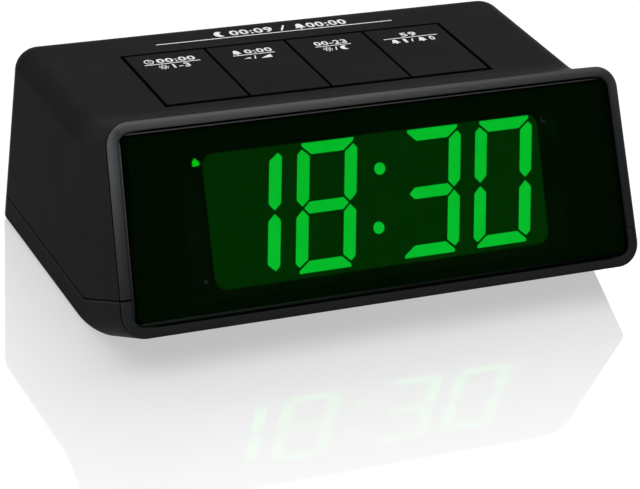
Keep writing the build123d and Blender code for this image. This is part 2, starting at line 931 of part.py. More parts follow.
with BuildPart() as colon_dots:
    with BuildSketch(face_plane.offset(-module_front)):
        with Locations(*colon_places):
            Circle(colon_radius)
    extrude(amount=-segment_fill)
write(colon_dots, "colon_dots")

with BuildPart() as alarm_mark:
    with BuildSketch(face_plane.offset(-module_front)):
        lay_alarm_mark()
    extrude(amount=-segment_fill)
write(alarm_mark, "alarm_mark")

with BuildPart() as idle_marks:
    with BuildSketch(face_plane.offset(-module_front)):
        lay_idle_marks()
    extrude(amount=-segment_fill)
write(idle_marks, "idle_marks")

# Light-emitting dice on the display board, one in each cavity
die_places = [
    (
        sum(point[0] for point in outline) / len(outline),
        sum(point[1] for point in outline) / len(outline),
    )
    for outline in lit_outlines + unlit_outlines
]
moon_die_shift = mark_size * moon_die_share
mark_die_places = [
    alarm_mark_at,
    dot_mark_at,
    (moon_mark_at[0] - moon_die_shift, moon_mark_at[1] - moon_die_shift),
]
with BuildPart() as led_dice:
    with BuildSketch(face_plane.offset(-module_back)):
        with Locations(*die_places, *colon_places):
            Rectangle(die_length, die_width)
        with Locations(*mark_die_places):
            Rectangle(mark_die_side, mark_die_side)
    extrude(amount=die_height)
write(led_dice, "led_dice")

# Display board, its pins, screws and parts
with BuildPart() as display_board:
    with BuildSketch(face_plane.offset(-display_board_back)):
        face_rectangle(display_board_half_width, display_board_low, display_board_high)
        with Locations(*display_screw_places):
            Circle(board_screw.radius + hole_gap, mode=Mode.SUBTRACT)
        with Locations((0, (module_low + module_high) / 2)):
            with GridLocations(pin_pitch, pin_row, pin_count, 2):
                Circle(pin_radius + pin_gap, mode=Mode.SUBTRACT)
    extrude(amount=board_thickness)
write(display_board, "display_board")

with BuildPart() as display_pins:
    with BuildSketch(face_plane.offset(-module_back)):
        with Locations((0, (module_low + module_high) / 2)):
            with GridLocations(pin_pitch, pin_row, pin_count, 2):
                Circle(pin_radius)
    extrude(amount=-pin_length)
write(display_pins, "display_pins")

display_back_plane = Plane(
    origin=face_plane.origin - face_plane.z_dir * display_board_back,
    x_dir=(-1, 0, 0),
    z_dir=-face_plane.z_dir,
)
with BuildPart() as display_screws:
    add(screws(display_back_plane, display_screw_places, board_screw))
write(display_screws, "display_screws")


def chip(centre: tuple[float, float], size: tuple[float, float, float], board: Plane) -> Part:
    """A moulded chip with a row of bent leads along each long side, standing on a board."""
    length, breadth, height = size
    lead_count = int((length - 2 * chip_end) / lead_pitch) + 1
    with BuildPart() as package:
        with BuildSketch(board.offset(lead_rise / 2)):
            with Locations(centre):
                Rectangle(length, breadth)
        extrude(amount=height - lead_rise / 2)
        with BuildSketch(board):
            with Locations(centre):
                with GridLocations(lead_pitch, breadth + lead_reach, lead_count, 2):
                    Rectangle(lead_width, lead_reach)
        extrude(amount=lead_rise)
    return package.part


with BuildPart() as driver_chips:
    for side in (-1, 1):
        place = (side * driver_chip_spread / 2, driver_chip_up)
        add(chip(place, driver_chip_size, display_back_plane))
write(driver_chips, "driver_chips")

# Main board on its standoffs
with BuildPart() as main_board:
    with BuildSketch(Plane.XY.offset(main_board_z)):
        with Locations((main_board_x, main_board_y)):
            Rectangle(main_board_length, main_board_width)
        with Locations(*main_screw_places):
            Circle(board_screw.radius + hole_gap, mode=Mode.SUBTRACT)
    extrude(amount=board_thickness)
write(main_board, "main_board")

main_top_plane = Plane.XY.offset(main_board_top)
with BuildPart() as board_screws:
    add(screws(main_top_plane, main_screw_places, board_screw))
write(board_screws, "board_screws")


def on_main_board(shares: tuple[float, float]) -> tuple[float, float]:
    """A place on the main board, in shares of its half length and half width."""
    return (
        main_board_x + shares[0] * main_board_length / 2,
        main_board_y + shares[1] * main_board_width / 2,
    )


with BuildPart() as clock_chip:
    add(chip(on_main_board(clock_chip_shares), clock_chip_size, main_top_plane))
write(clock_chip, "clock_chip")

# Watch crystal lying on the board
crystal_x, crystal_y = on_main_board(crystal_shares)
with BuildPart() as crystal:
    with BuildSketch(Plane.YZ.offset(crystal_x)):
        with Locations((crystal_y, main_board_top + crystal_radius)):
            Circle(crystal_radius)
    extrude(amount=crystal_length)
    with BuildSketch(Plane.YZ.offset(crystal_x)):
        for side in (-1, 1):
            with Locations((crystal_y + side * crystal_radius / 2, main_board_top + crystal_radius)):
                Circle(crystal_pin_radius)
    extrude(amount=-crystal_pin_length)
write(crystal, "crystal")

with BuildPart() as capacitors:
    with BuildSketch(main_top_plane):
        with Locations(*(on_main_board(shares) for shares in can_shares)):
            Circle(can_radius)
    extrude(amount=can_height)
    fillet(capacitors.edges().group_by(Axis.Z)[-1], can_round)
write(capacitors, "capacitors")

with BuildPart() as regulator:
    regulator_x, regulator_y = on_main_board(regulator_shares)
    regulator_length, regulator_breadth, regulator_height = regulator_size
    tab_length, tab_reach, tab_thickness = regulator_tab
    with BuildSketch(main_top_plane):
        with Locations((regulator_x, regulator_y)):
            Rectangle(regulator_length, regulator_breadth)
    extrude(amount=regulator_height)
    with BuildSketch(main_top_plane):
        with Locations((regulator_x, regulator_y + (regulator_breadth + tab_reach) / 2)):
            Rectangle(tab_length, tab_reach)
        with Locations((regulator_x, regulator_y - (regulator_breadth + tab_reach) / 2)):
            with GridLocations(regulator_length / 3, 0, 3, 1):
                Rectangle(lead_width * 2, tab_reach)
    extrude(amount=tab_thickness)
write(regulator, "regulator")

with BuildPart() as diodes:
    with BuildSketch(main_top_plane):
        with Locations(*(on_main_board(shares) for shares in diode_shares)):
            Rectangle(diode_size[0], diode_size[1])
    extrude(amount=diode_size[2])
write(diodes, "diodes")

with BuildPart() as resistors:
    with BuildSketch(main_top_plane):
        with Locations(on_main_board(resistor_shares)):
            with GridLocations(resistor_pitch, resistor_row_pitch, resistor_count, resistor_rows):
                Rectangle(resistor_size[0], resistor_size[1])
    extrude(amount=resistor_size[2])
    with BuildSketch(display_back_plane):
        with Locations((0, display_resistor_up)):
            with GridLocations(resistor_pitch, 0, display_resistor_count, 1):
                Rectangle(resistor_size[0], resistor_size[1])
    extrude(amount=resistor_size[2])
write(resistors, "resistors")

# Power jack at the back, with its centre pin and side spring
with BuildPart() as power_jack:
    with BuildSketch(Plane.XZ.offset(-jack_mouth_y)):
        with Locations((jack_x, main_board_top + jack_height / 2)):
            Rectangle(jack_width, jack_height)
    extrude(amount=jack_length)
    with BuildSketch(Plane.XZ.offset(-jack_mouth_y)):
        with Locations((jack_x, jack_z)):
            Circle(jack_bore_radius)
    extrude(amount=jack_bore_depth, mode=Mode.SUBTRACT)
    with BuildSketch(Plane.XZ.offset(-jack_mouth_y)):
        with Locations((jack_x, jack_z - jack_bore_radius - jack_spring_thickness / 2)):
            Rectangle(jack_spring_width, 2 * jack_spring_thickness)
    extrude(amount=jack_bore_depth, mode=Mode.SUBTRACT)
write(power_jack, "power_jack")

with BuildPart() as jack_pin:
    with BuildSketch(Plane.XZ.offset(jack_bore_depth - jack_mouth_y)):
        with Locations((jack_x, jack_z)):
            Circle(jack_pin_radius)
    extrude(amount=jack_pin_setback - jack_bore_depth)
    fillet(jack_pin.edges().group_by(Axis.Y)[-1], jack_pin_radius / 2)
write(jack_pin, "jack_pin")

with BuildPart() as jack_spring:
    with BuildSketch(Plane.XZ.offset(jack_bore_depth - jack_mouth_y)):
        with Locations((jack_x, jack_z - jack_bore_radius - jack_spring_thickness)):
            Rectangle(
                jack_spring_width,
                jack_spring_thickness,
                align=(Align.CENTER, Align.MIN),
            )
    extrude(amount=jack_pin_setback - jack_bore_depth)
write(jack_spring, "jack_spring")

# Buzzer in its ring, over the sound holes
with BuildPart() as buzzer:
    with BuildSketch(Plane.XY.offset(buzzer_z)):
        with Locations((buzzer_x, buzzer_y)):
            Circle(buzzer_radius)
    extrude(amount=buzzer_height)
    fillet(buzzer.edges().group_by(Axis.Z)[-1], buzzer_edge_round)
    with BuildSketch(Plane.XY.offset(buzzer_z)):
        with Locations((buzzer_x, buzzer_y)):
            Circle(buzzer_port_radius)
    extrude(amount=buzzer_port_depth, mode=Mode.SUBTRACT)
write(buzzer, "buzzer")


def wire(points: list) -> Part:
    """A round wire along straight runs joined by arcs."""
    with BuildPart() as run:
        with BuildLine() as route:
            FilletPolyline(*points, radius=wire_bend)
        with BuildSketch(Plane(origin=route.line @ 0, z_dir=route.line % 0)):
            Circle(wire_radius)
        sweep()
    return run.part


def ribbon(points: list, centre_x: float, breadth: float) -> Part:
    """A flat ribbon whose route lies in a plane square to X."""
    with BuildPart() as run:
        with BuildLine() as route:
            FilletPolyline(*((centre_x, point_y, point_z) for point_y, point_z in points),
                           radius=ribbon_bend)
        with BuildSketch(Plane(origin=route.line @ 0, x_dir=(1, 0, 0), z_dir=route.line % 0)):
            Rectangle(breadth, ribbon_thickness)
        sweep()
    return run.part


with BuildPart() as buzzer_leads:
    for side in (-1, 1):
        start = (buzzer_x + buzzer_radius / 2, buzzer_y + side * 2 * wire_radius)
        finish_x = main_board_x - main_board_length / 2 + main_screw_inset / 2
        finish_y = main_board_y - main_board_width / 2 + main_screw_inset * 2 + side * 2 * wire_radius
        high = main_board_top + wire_rise
        add(wire([
            (*start, buzzer_top),
            (*start, high),
            (finish_x, finish_y, high),
            (finish_x, finish_y, main_board_top),
        ]))
write(buzzer_leads, "buzzer_leads")

# Back-up cells, one facing each way
with BuildPart() as backup_cells:
    cell_body = cell_length - cell_nub_length
    for cell_y, start_x, way in (
        (cell_front_y, bay_high_x - contact_thickness, -1),
        (cell_rear_y, bay_low_x + contact_thickness, 1),
    ):
        with BuildSketch(Plane.YZ.offset(start_x)):
            with Locations((cell_y, cell_z)):
                Circle(cell_nub_radius)
        extrude(amount=way * cell_length)
        with BuildSketch(Plane.YZ.offset(start_x + way * cell_nub_length)):
            with Locations((cell_y, cell_z)):
                Circle(cell_radius)
        extrude(amount=way * cell_body)
write(backup_cells, "backup_cells")


def leaf(end_x: float, way: int, cell_y: float) -> Part:
    """A bowed leaf that stands off a contact plate towards a cell's flat end."""
    half = contact_side / 2
    tip = half * leaf_tip_share
    root, crest = end_x + way * contact_thickness, end_x + way * leaf_depth
    thin = way * contact_thickness
    with BuildPart() as strip:
        with BuildSketch(Plane.XZ.offset(leaf_width / 2 - cell_y)):
            with Locations((0, cell_z)):
                Polygon((root, -half), (crest, -tip), (crest, tip), (root, half), align=None)
                Polygon(
                    (root, contact_thickness * 2 - half),
                    (crest - thin, -tip),
                    (crest - thin, tip),
                    (root, half - contact_thickness * 2),
                    align=None,
                    mode=Mode.SUBTRACT,
                )
        extrude(amount=-leaf_width)
    return strip.part


def contact_plate(end_x: float, way: int, plate_y: float, breadth: float) -> Part:
    """A flat plate against one end of the bay."""
    with BuildPart() as plate:
        with BuildSketch(Plane.YZ.offset(end_x)):
            with Locations((plate_y, cell_z)):
                Rectangle(breadth, contact_side)
        extrude(amount=way * contact_thickness)
    return plate.part


def contact_tag(end_x: float, way: int, tag_y: float) -> Part:
    """The solder tag that rises from a plate through the top of the bay."""
    with BuildPart() as tag:
        with BuildSketch(Plane.YZ.offset(end_x)):
            with Locations((tag_y, (cell_z + tag_z) / 2)):
                Rectangle(tag_width, tag_z - cell_z)
        extrude(amount=way * contact_thickness)
    return tag.part


with BuildPart() as battery_link:
    add(contact_plate(bay_low_x, 1, bay_y, cell_spacing + contact_side))
    add(leaf(bay_low_x, 1, cell_front_y))
write(battery_link, "battery_link")

with BuildPart() as battery_contact_plus:
    add(contact_plate(bay_high_x, -1, cell_front_y, contact_side))
    add(contact_tag(bay_high_x, -1, cell_front_y))
write(battery_contact_plus, "battery_contact_plus")

with BuildPart() as battery_contact_minus:
    add(contact_plate(bay_high_x, -1, cell_rear_y, contact_side))
    add(contact_tag(bay_high_x, -1, cell_rear_y))
    add(leaf(bay_high_x, -1, cell_rear_y))
write(battery_contact_minus, "battery_contact_minus")

with BuildPart() as battery_leads:
    for cell_y in (cell_front_y, cell_rear_y):
        finish_x = main_board_x - main_board_length / 2 + main_screw_inset
        high = tag_z + wire_rise
        tag_x = bay_high_x - contact_thickness / 2
        add(wire([
            (tag_x, cell_y, tag_z),
            (tag_x, cell_y, high),
            (finish_x, cell_y, high),
            (finish_x, cell_y, main_board_top),
        ]))
write(battery_leads, "battery_leads")

# Battery door, turning on two beads along its rear edge
with BuildPart() as battery_door:
    door_length = bay_length + 2 * door_overlap - 2 * door_gap
    door_width = bay_width + 2 * door_overlap - 2 * door_gap
    with BuildSketch(Plane.XY.offset(base_z)):
        with Locations((bay_x, bay_y)):
            Rectangle(door_length, door_width)
    extrude(amount=door_thickness)
    rear_edge = battery_door.edges().filter_by(Axis.X).group_by(Axis.Z)[0].sort_by(Axis.Y)[-1]
    chamfer(rear_edge, door_bevel)
    for side in (-1, 1):
        with BuildSketch(Plane.YZ.offset(bay_x + side * bead_spread / 2 - bead_length / 2)):
            with Locations((door_hinge_y, door_hinge_z)):
                Circle(bead_radius)
        extrude(amount=bead_length)
    with BuildSketch(Plane.XY.offset(door_top)):
        with Locations((bay_x, bay_y - bay_width / 2 + latch_setback + latch_thickness / 2)):
            Rectangle(latch_width, latch_thickness)
    extrude(amount=latch_height)
write(battery_door, "battery_door")

# Key board with its switches
with BuildPart() as key_board:
    with BuildSketch(Plane.XY.offset(key_board_bottom)):
        with Locations((0, key_y)):
            Rectangle(key_board_length, key_board_width)
        with Locations(*key_screw_places):
            Circle(board_screw.radius + hole_gap, mode=Mode.SUBTRACT)
        for key_x in key_places:
            with Locations((key_x, key_y - guide_spread), (key_x, key_y + guide_spread)):
                Circle(guide_radius + guide_gap, mode=Mode.SUBTRACT)
    extrude(amount=board_thickness)
write(key_board, "key_board")

with BuildPart() as key_board_screws:
    under_board = Plane(origin=(0, 0, key_board_bottom), x_dir=(1, 0, 0), z_dir=(0, 0, -1))
    add(screws(under_board, [(place_x, -place_y) for place_x, place_y in key_screw_places], board_screw))
write(key_board_screws, "key_board_screws")

with BuildPart() as switch_bodies:
    with BuildSketch(Plane.XY.offset(key_board_top)):
        with Locations(*((key_x, key_y) for key_x in key_places)):
            Rectangle(switch_side, switch_side)
    extrude(amount=switch_height)
    with BuildSketch(Plane.XY.offset(key_board_top + switch_wall)):
        with Locations(*((key_x, key_y) for key_x in key_places)):
            Circle(stem_radius + stem_gap)
    extrude(amount=switch_height, mode=Mode.SUBTRACT)
write(switch_bodies, "switch_bodies")


def switch_stem(key_x: float) -> Part:
    """The moving button of one switch."""
    with BuildPart() as stem:
        with BuildSketch(Plane.XY.offset(stem_bottom)):
            with Locations((key_x, key_y)):
                Circle(stem_radius)
        extrude(amount=stem_top - stem_bottom)
    return stem.part


def key_cap(key_x: float) -> Part:
    """A hollow flat key with a flange front and back, a plunger and two guide pins."""
    with BuildPart() as cap:
        with BuildSketch(Plane.XY.offset(key_bottom)):
            with Locations((key_x, key_y)):
                Rectangle(key_width, key_depth)
        extrude(amount=top_z - key_bottom)
        fillet(cap.faces().sort_by(Axis.Z)[-1].edges(), key_edge_round)
        with BuildSketch(Plane.XY.offset(key_bottom)):
            with Locations((key_x, key_y)):
                Rectangle(key_width, key_depth + 2 * key_flange_reach)
        extrude(amount=key_flange_thickness)
        with BuildSketch(Plane.XY.offset(key_bottom)):
            with Locations((key_x, key_y)):
                Rectangle(key_width - 2 * key_wall, key_depth - 2 * key_wall)
        extrude(amount=top_z - key_top - key_bottom, mode=Mode.SUBTRACT)
        with BuildSketch(Plane.XY.offset(stem_top)):
            with Locations((key_x, key_y)):
                Circle(plunger_radius)
        extrude(amount=top_z - key_top - stem_top)
        guide_low = key_board_bottom - guide_end
        with BuildSketch(Plane.XY.offset(guide_low)):
            with Locations((key_x, key_y - guide_spread), (key_x, key_y + guide_spread)):
                Circle(guide_radius)
        extrude(amount=top_z - key_top - guide_low)
    return cap.part


key_names = ("time", "alarm", "hour", "minute")
for key_name, key_x in zip(key_names, key_places):
    with BuildPart() as key:
        add(key_cap(key_x))
    write(key, f"key_{key_name}")
    with BuildPart() as stem:
        add(switch_stem(key_x))
    write(stem, f"switch_stem_{key_name}")

# Ribbons between the boards and the headers that they plug into
display_ribbon_y = display_ribbon_gap - depth / 2
display_ribbon_start = side_point(display_header_up, display_board_back + header_height)
display_ribbon_turn = side_point(
    display_header_up,
    display_board_back + header_height + (display_ribbon_y - display_ribbon_start[0]) / cos(lean),
)
with BuildPart() as display_ribbon:
    add(ribbon(
        [
            display_ribbon_start,
            display_ribbon_turn,
            (display_ribbon_y, main_board_top + header_height),
        ],
        display_ribbon_x,
        display_ribbon_width,
    ))
write(display_ribbon, "display_ribbon")

key_header_x = key_places[-2] + key_pitch / 2
key_ribbon_top = key_board_bottom - header_height
key_ribbon_low = main_board_top + header_height
with BuildPart() as key_ribbon:
    add(ribbon(
        [
            (key_ribbon_y, key_ribbon_top),
            (key_ribbon_y, (2 * key_ribbon_top + key_ribbon_low) / 3),
            (key_header_y, (key_ribbon_top + 2 * key_ribbon_low) / 3),
            (key_header_y, key_ribbon_low),
        ],
        key_header_x,
        key_ribbon_width,
    ))
write(key_ribbon, "key_ribbon")

with BuildPart() as headers:
    display_header_length = display_ribbon_width + 2 * header_margin
    key_header_length = key_ribbon_width + 2 * header_margin
    with BuildSketch(main_top_plane):
        with Locations((display_ribbon_x, display_ribbon_y)):
            Rectangle(display_header_length, header_thickness)
        with Locations((key_header_x, key_header_y)):
            Rectangle(key_header_length, header_thickness)
    extrude(amount=header_height)
    with BuildSketch(Plane.XY.offset(key_ribbon_top)):
        with Locations((key_header_x, key_ribbon_y)):
            Rectangle(key_header_length, header_thickness)
    extrude(amount=header_height)
    with BuildSketch(display_back_plane):
        with Locations((-display_ribbon_x, display_header_up)):
            Rectangle(display_header_length, header_thickness)
    extrude(amount=header_height)
write(headers, "headers")
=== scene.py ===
"""Desk clock with a large green display: its finishes, printed legends and a plain studio.

Metres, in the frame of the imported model: X across the clock, Y from front to back, Z up.
Sizes of the printed legends are written in millimetres and turned into metres where a mesh is made.
"""
from __future__ import annotations

import logging
from dataclasses import dataclass, field
from enum import Enum
from math import acos, cos, pi, radians, sin, tan, tau
from typing import Callable, Iterable

import bmesh
import bpy
from mathutils import Matrix, Vector


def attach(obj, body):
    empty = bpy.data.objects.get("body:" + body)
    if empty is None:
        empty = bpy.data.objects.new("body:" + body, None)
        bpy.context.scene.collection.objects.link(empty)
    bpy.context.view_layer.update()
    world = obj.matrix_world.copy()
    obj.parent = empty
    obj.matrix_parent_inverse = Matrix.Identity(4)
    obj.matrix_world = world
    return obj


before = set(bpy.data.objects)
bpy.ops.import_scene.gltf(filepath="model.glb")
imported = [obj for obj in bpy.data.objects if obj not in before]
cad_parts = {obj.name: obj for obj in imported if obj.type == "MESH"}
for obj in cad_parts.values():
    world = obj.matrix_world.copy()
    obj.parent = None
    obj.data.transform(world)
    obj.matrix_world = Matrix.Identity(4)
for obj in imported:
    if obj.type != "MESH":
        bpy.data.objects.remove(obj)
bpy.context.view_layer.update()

Shade = tuple[float, float, float]
Point = tuple[float, float]
Place = tuple[float, float, float]
Socket = bpy.types.NodeSocket

log = logging.getLogger("desk_clock")
MM = 0.001
ACROSS: Place = (1.0, 0.0, 0.0)
BACK: Place = (0.0, 1.0, 0.0)
RISE: Place = (0.0, 0.0, 1.0)
WHITE: Shade = (1.0, 1.0, 1.0)
PATTERN_ENDS: Point = (0.3, 0.7)  # where a noise pattern's useful middle part starts and ends
TOP_MM = 47.5  # level of the case's and the keys' printed tops


class Grain(Enum):
    """The small relief of a surface."""

    MOULDED = "spark-eroded mould grain"
    BRUSHED = "fine lines along X"
    WOVEN = "glass cloth under resin"
    FOAMED = "open cells"
    ROLLED = "almost smooth, slightly wavy"
    SPECKLED = "ink or paint on a grained surface"


class Bench:
    """The node tree of a material or of the world while it is being wired."""

    def __init__(self, owner: bpy.types.Material | bpy.types.World) -> None:
        """Empty the owner's tree and give it its output.

        Args:
            owner: What the tree belongs to.
        """
        owner.use_nodes = True
        self.owner, self.tree = owner, owner.node_tree
        self.tree.nodes.clear()
        self.output = self.node(f"Output{owner.bl_rna.identifier}")
        self.coordinates = self.node("TexCoord").outputs
        self.place = self.coordinates["Object"]

    def node(self, kind: str, entries: dict[str | int, object] | None = None,
             **settings: object) -> bpy.types.Node:
        """Add a node.

        Args:
            kind: Blender's name of the node type, without its first two words.
            entries: What goes into its inputs, each a socket or a plain value.
            settings: Attributes to set on it.

        Returns:
            The new node.
        """
        made = self.tree.nodes.new(f"ShaderNode{kind}")
        for key, value in settings.items():
            setattr(made, key, value)
        self.feed(made, entries or {})
        return made

    def feed(self, node: bpy.types.Node, entries: dict[str | int, object]) -> None:
        """Fill a node's inputs.

        Args:
            node: The node.
            entries: What goes into them, each a socket or a plain value; a shade needs no alpha.
        """
        for key, value in entries.items():
            entry = node.inputs[key]
            if isinstance(value, Socket):
                self.tree.links.new(value, entry)
            else:
                entry.default_value = (*value, 1.0) if entry.type == "RGBA" else value

    def close(self, shader: Socket) -> bpy.types.Material | bpy.types.World:
        """Join the last shader to the output, and give the owner back."""
        self.feed(self.output, {"Surface": shader})
        return self.owner

    def stretched(self, along: Place) -> Socket:
        """Object coordinates scaled along X, Y and Z."""
        return self.node("Mapping", {"Scale": along, "Vector": self.place}).outputs["Vector"]

    def noise(self, size_mm: float, detail: float = 2.0, where: Socket | None = None) -> Socket:
        """A noise pattern with patches of a size, and a number of finer layers in them."""
        return self.node("TexNoise", {"Scale": 1 / (size_mm * MM), "Detail": detail,
                                      "Vector": where or self.place}).outputs["Fac"]

    def cells(self, size_mm: float) -> Socket:
        """Distance to the nearest cell's middle, for foam."""
        return self.node("TexVoronoi", {"Scale": 1 / (size_mm * MM),
                                        "Vector": self.place}).outputs["Distance"]

    def cloth(self, size_mm: float) -> Socket:
        """Two crossed waves, for woven glass with its threads at a pitch."""
        entries = {"Scale": pi / (10 * size_mm * MM), "Distortion": 0.3, "Vector": self.place}
        return self.times(*(self.node("TexWave", entries, bands_direction=axis).outputs["Fac"]
                            for axis in ("X", "Y")))

    def span(self, value: Socket, low: float, high: float) -> Socket:
        """Stretch a pattern's middle part from a low to a high value."""
        keys = ("Value", "From Min", "From Max", "To Min", "To Max")
        return self.node("MapRange", dict(zip(keys, (value, *PATTERN_ENDS, low, high))),
                         clamp=True).outputs["Result"]

    def tints(self, value: Socket, first: Shade, second: Shade, ends: Point = PATTERN_ENDS) -> Socket:
        """Go from one shade to another along a pattern.

        Args:
            value: The pattern.
            first: Shade where it is lowest.
            second: Shade where it is highest.
            ends: Values between which the shade changes.

        Returns:
            The shade.
        """
        made = self.node("ValToRGB", {"Fac": value})
        for stop, position, shade in zip(made.color_ramp.elements, ends, (first, second)):
            stop.position, stop.color = position, (*shade, 1.0)
        return made.outputs["Color"]

    def sum(self, operation: str, *values: Socket | float) -> Socket:
        """One step of arithmetic on sockets and plain numbers."""
        return self.node("Math", dict(enumerate(values)), operation=operation).outputs["Value"]

    def times(self, first: Socket, *others: Socket | float) -> Socket:
        """Multiply values together."""
        for other in others:
            first = self.sum("MULTIPLY", first, other)
        return first

    def apart(self, way: Place) -> Socket:
        """How many metres a point lies from the middle, to either side of it."""
        return self.sum("ABSOLUTE", self.along(way))

    def along(self, way: Place, start: Place = (0.0, 0.0, 0.0)) -> Socket:
        """How many metres a point lies along a direction of length 1, counted from a start."""
        made = self.node("VectorMath", {0: self.place, 1: way}, operation="DOT_PRODUCT")
        return self.sum("SUBTRACT", made.outputs["Value"], Vector(way).dot(Vector(start)))

    def step(self, value: Socket, low_mm: float, high_mm: float) -> Socket:
        """A soft step between two distances.

        Args:
            value: A distance in metres.
            low_mm: Where the step is 0.
            high_mm: Where the step is 1; it may be the smaller of the two.

        Returns:
            A value from 0 to 1.
        """
        return self.node("MapRange", {"Value": value, "From Min": low_mm * MM, "From Max": high_mm * MM},
                         clamp=True).outputs["Result"]

    def within(self, value: Socket, low_mm: float, high_mm: float, soft_mm: float = 0.06) -> Socket:
        """1 between two distances, and 0 outside them, with soft ends."""
        return self.times(self.step(value, low_mm - soft_mm, low_mm),
                          self.step(value, high_mm + soft_mm, high_mm))

    def painted(self, under: Socket, over: Socket | Shade, share: Socket) -> Socket:
        """Lay one shade over another, as far as a share from 0 to 1."""
        return self.node("Mix", {0: share, 6: under, 7: over}, data_type="RGBA").outputs[2]

    def blend(self, share: Socket, under: Socket, over: Socket) -> Socket:
        """Lay one shader over another, as far as a share from 0 to 1."""
        return self.node("MixShader", {0: share, 1: under, 2: over}).outputs["Shader"]

    def relief(self, height: Socket, depth_mm: float) -> Socket:
        """Turn a pattern into relief of a depth, as a surface direction."""
        return self.node("Bump", {"Strength": 1.0, "Distance": depth_mm * MM,
                                  "Height": height}).outputs["Normal"]

    def seen(self) -> tuple[Socket, Socket]:
        """Find what the camera sees.

        Returns:
            1 where the camera looks straight, and 1 where it looks straight, in gloss or through glass.
        """
        path = self.node("LightPath").outputs
        straight = path["Is Camera Ray"]
        share = straight
        for key in ("Is Glossy Ray", "Is Transmission Ray"):
            share = self.sum("MAXIMUM", share, path[key])
        return straight, share


@dataclass(frozen=True)
class Finish:
    """One surface finish: shade, gloss and grain."""

    name: str
    shade: Shade
    second: Shade
    rough: float = 0.5
    rough_swing: float = 0.05
    grain: Grain = Grain.MOULDED
    grain_mm: float = 0.3
    relief_mm: float = 0.003
    patch_mm: float = 18.0
    metal: float = 0.0
    specular: float = 0.5
    brushing: Place = (0.04, 1.0, 1.0)  # how far brushed lines are stretched

    def pattern(self, bench: Bench) -> Socket:
        """The pattern of the grain.

        Args:
            bench: Tree to add it to.

        Returns:
            The height of the grain.
        """
        if self.grain is Grain.WOVEN:
            return bench.cloth(self.grain_mm)
        if self.grain is Grain.FOAMED:
            return bench.cells(self.grain_mm)
        if self.grain is Grain.BRUSHED:
            return bench.noise(self.grain_mm, 3.0, bench.stretched(self.brushing))
        return bench.noise(self.grain_mm, 4.0 if self.grain is Grain.SPECKLED else 2.0)

    def colour(self, bench: Bench) -> Socket:
        """The shade, drifting between the two written ones."""
        return bench.tints(bench.noise(self.patch_mm, 3.0), self.shade, self.second)

    def dressing(self, bench: Bench) -> bpy.types.Node:
        """Wire shade, roughness and relief into a principled shader.

        Args:
            bench: Tree to add it to.

        Returns:
            The shader.
        """
        rough = bench.span(bench.noise(self.patch_mm / 3),
                           self.rough - self.rough_swing, self.rough + self.rough_swing)
        return bench.node("BsdfPrincipled", {
            "Metallic": self.metal, "Specular IOR Level": self.specular, "Base Color": self.colour(bench),
            "Roughness": rough, "Normal": bench.relief(self.pattern(bench), self.relief_mm)})

    def material(self) -> bpy.types.Material:
        """The finish as a material, made once.

        Returns:
            The material.
        """
        kept = bpy.data.materials.get(self.name)
        if kept is not None:
            return kept
        bench = Bench(bpy.data.materials.new(self.name))
        return bench.close(self.dressing(bench).outputs["BSDF"])


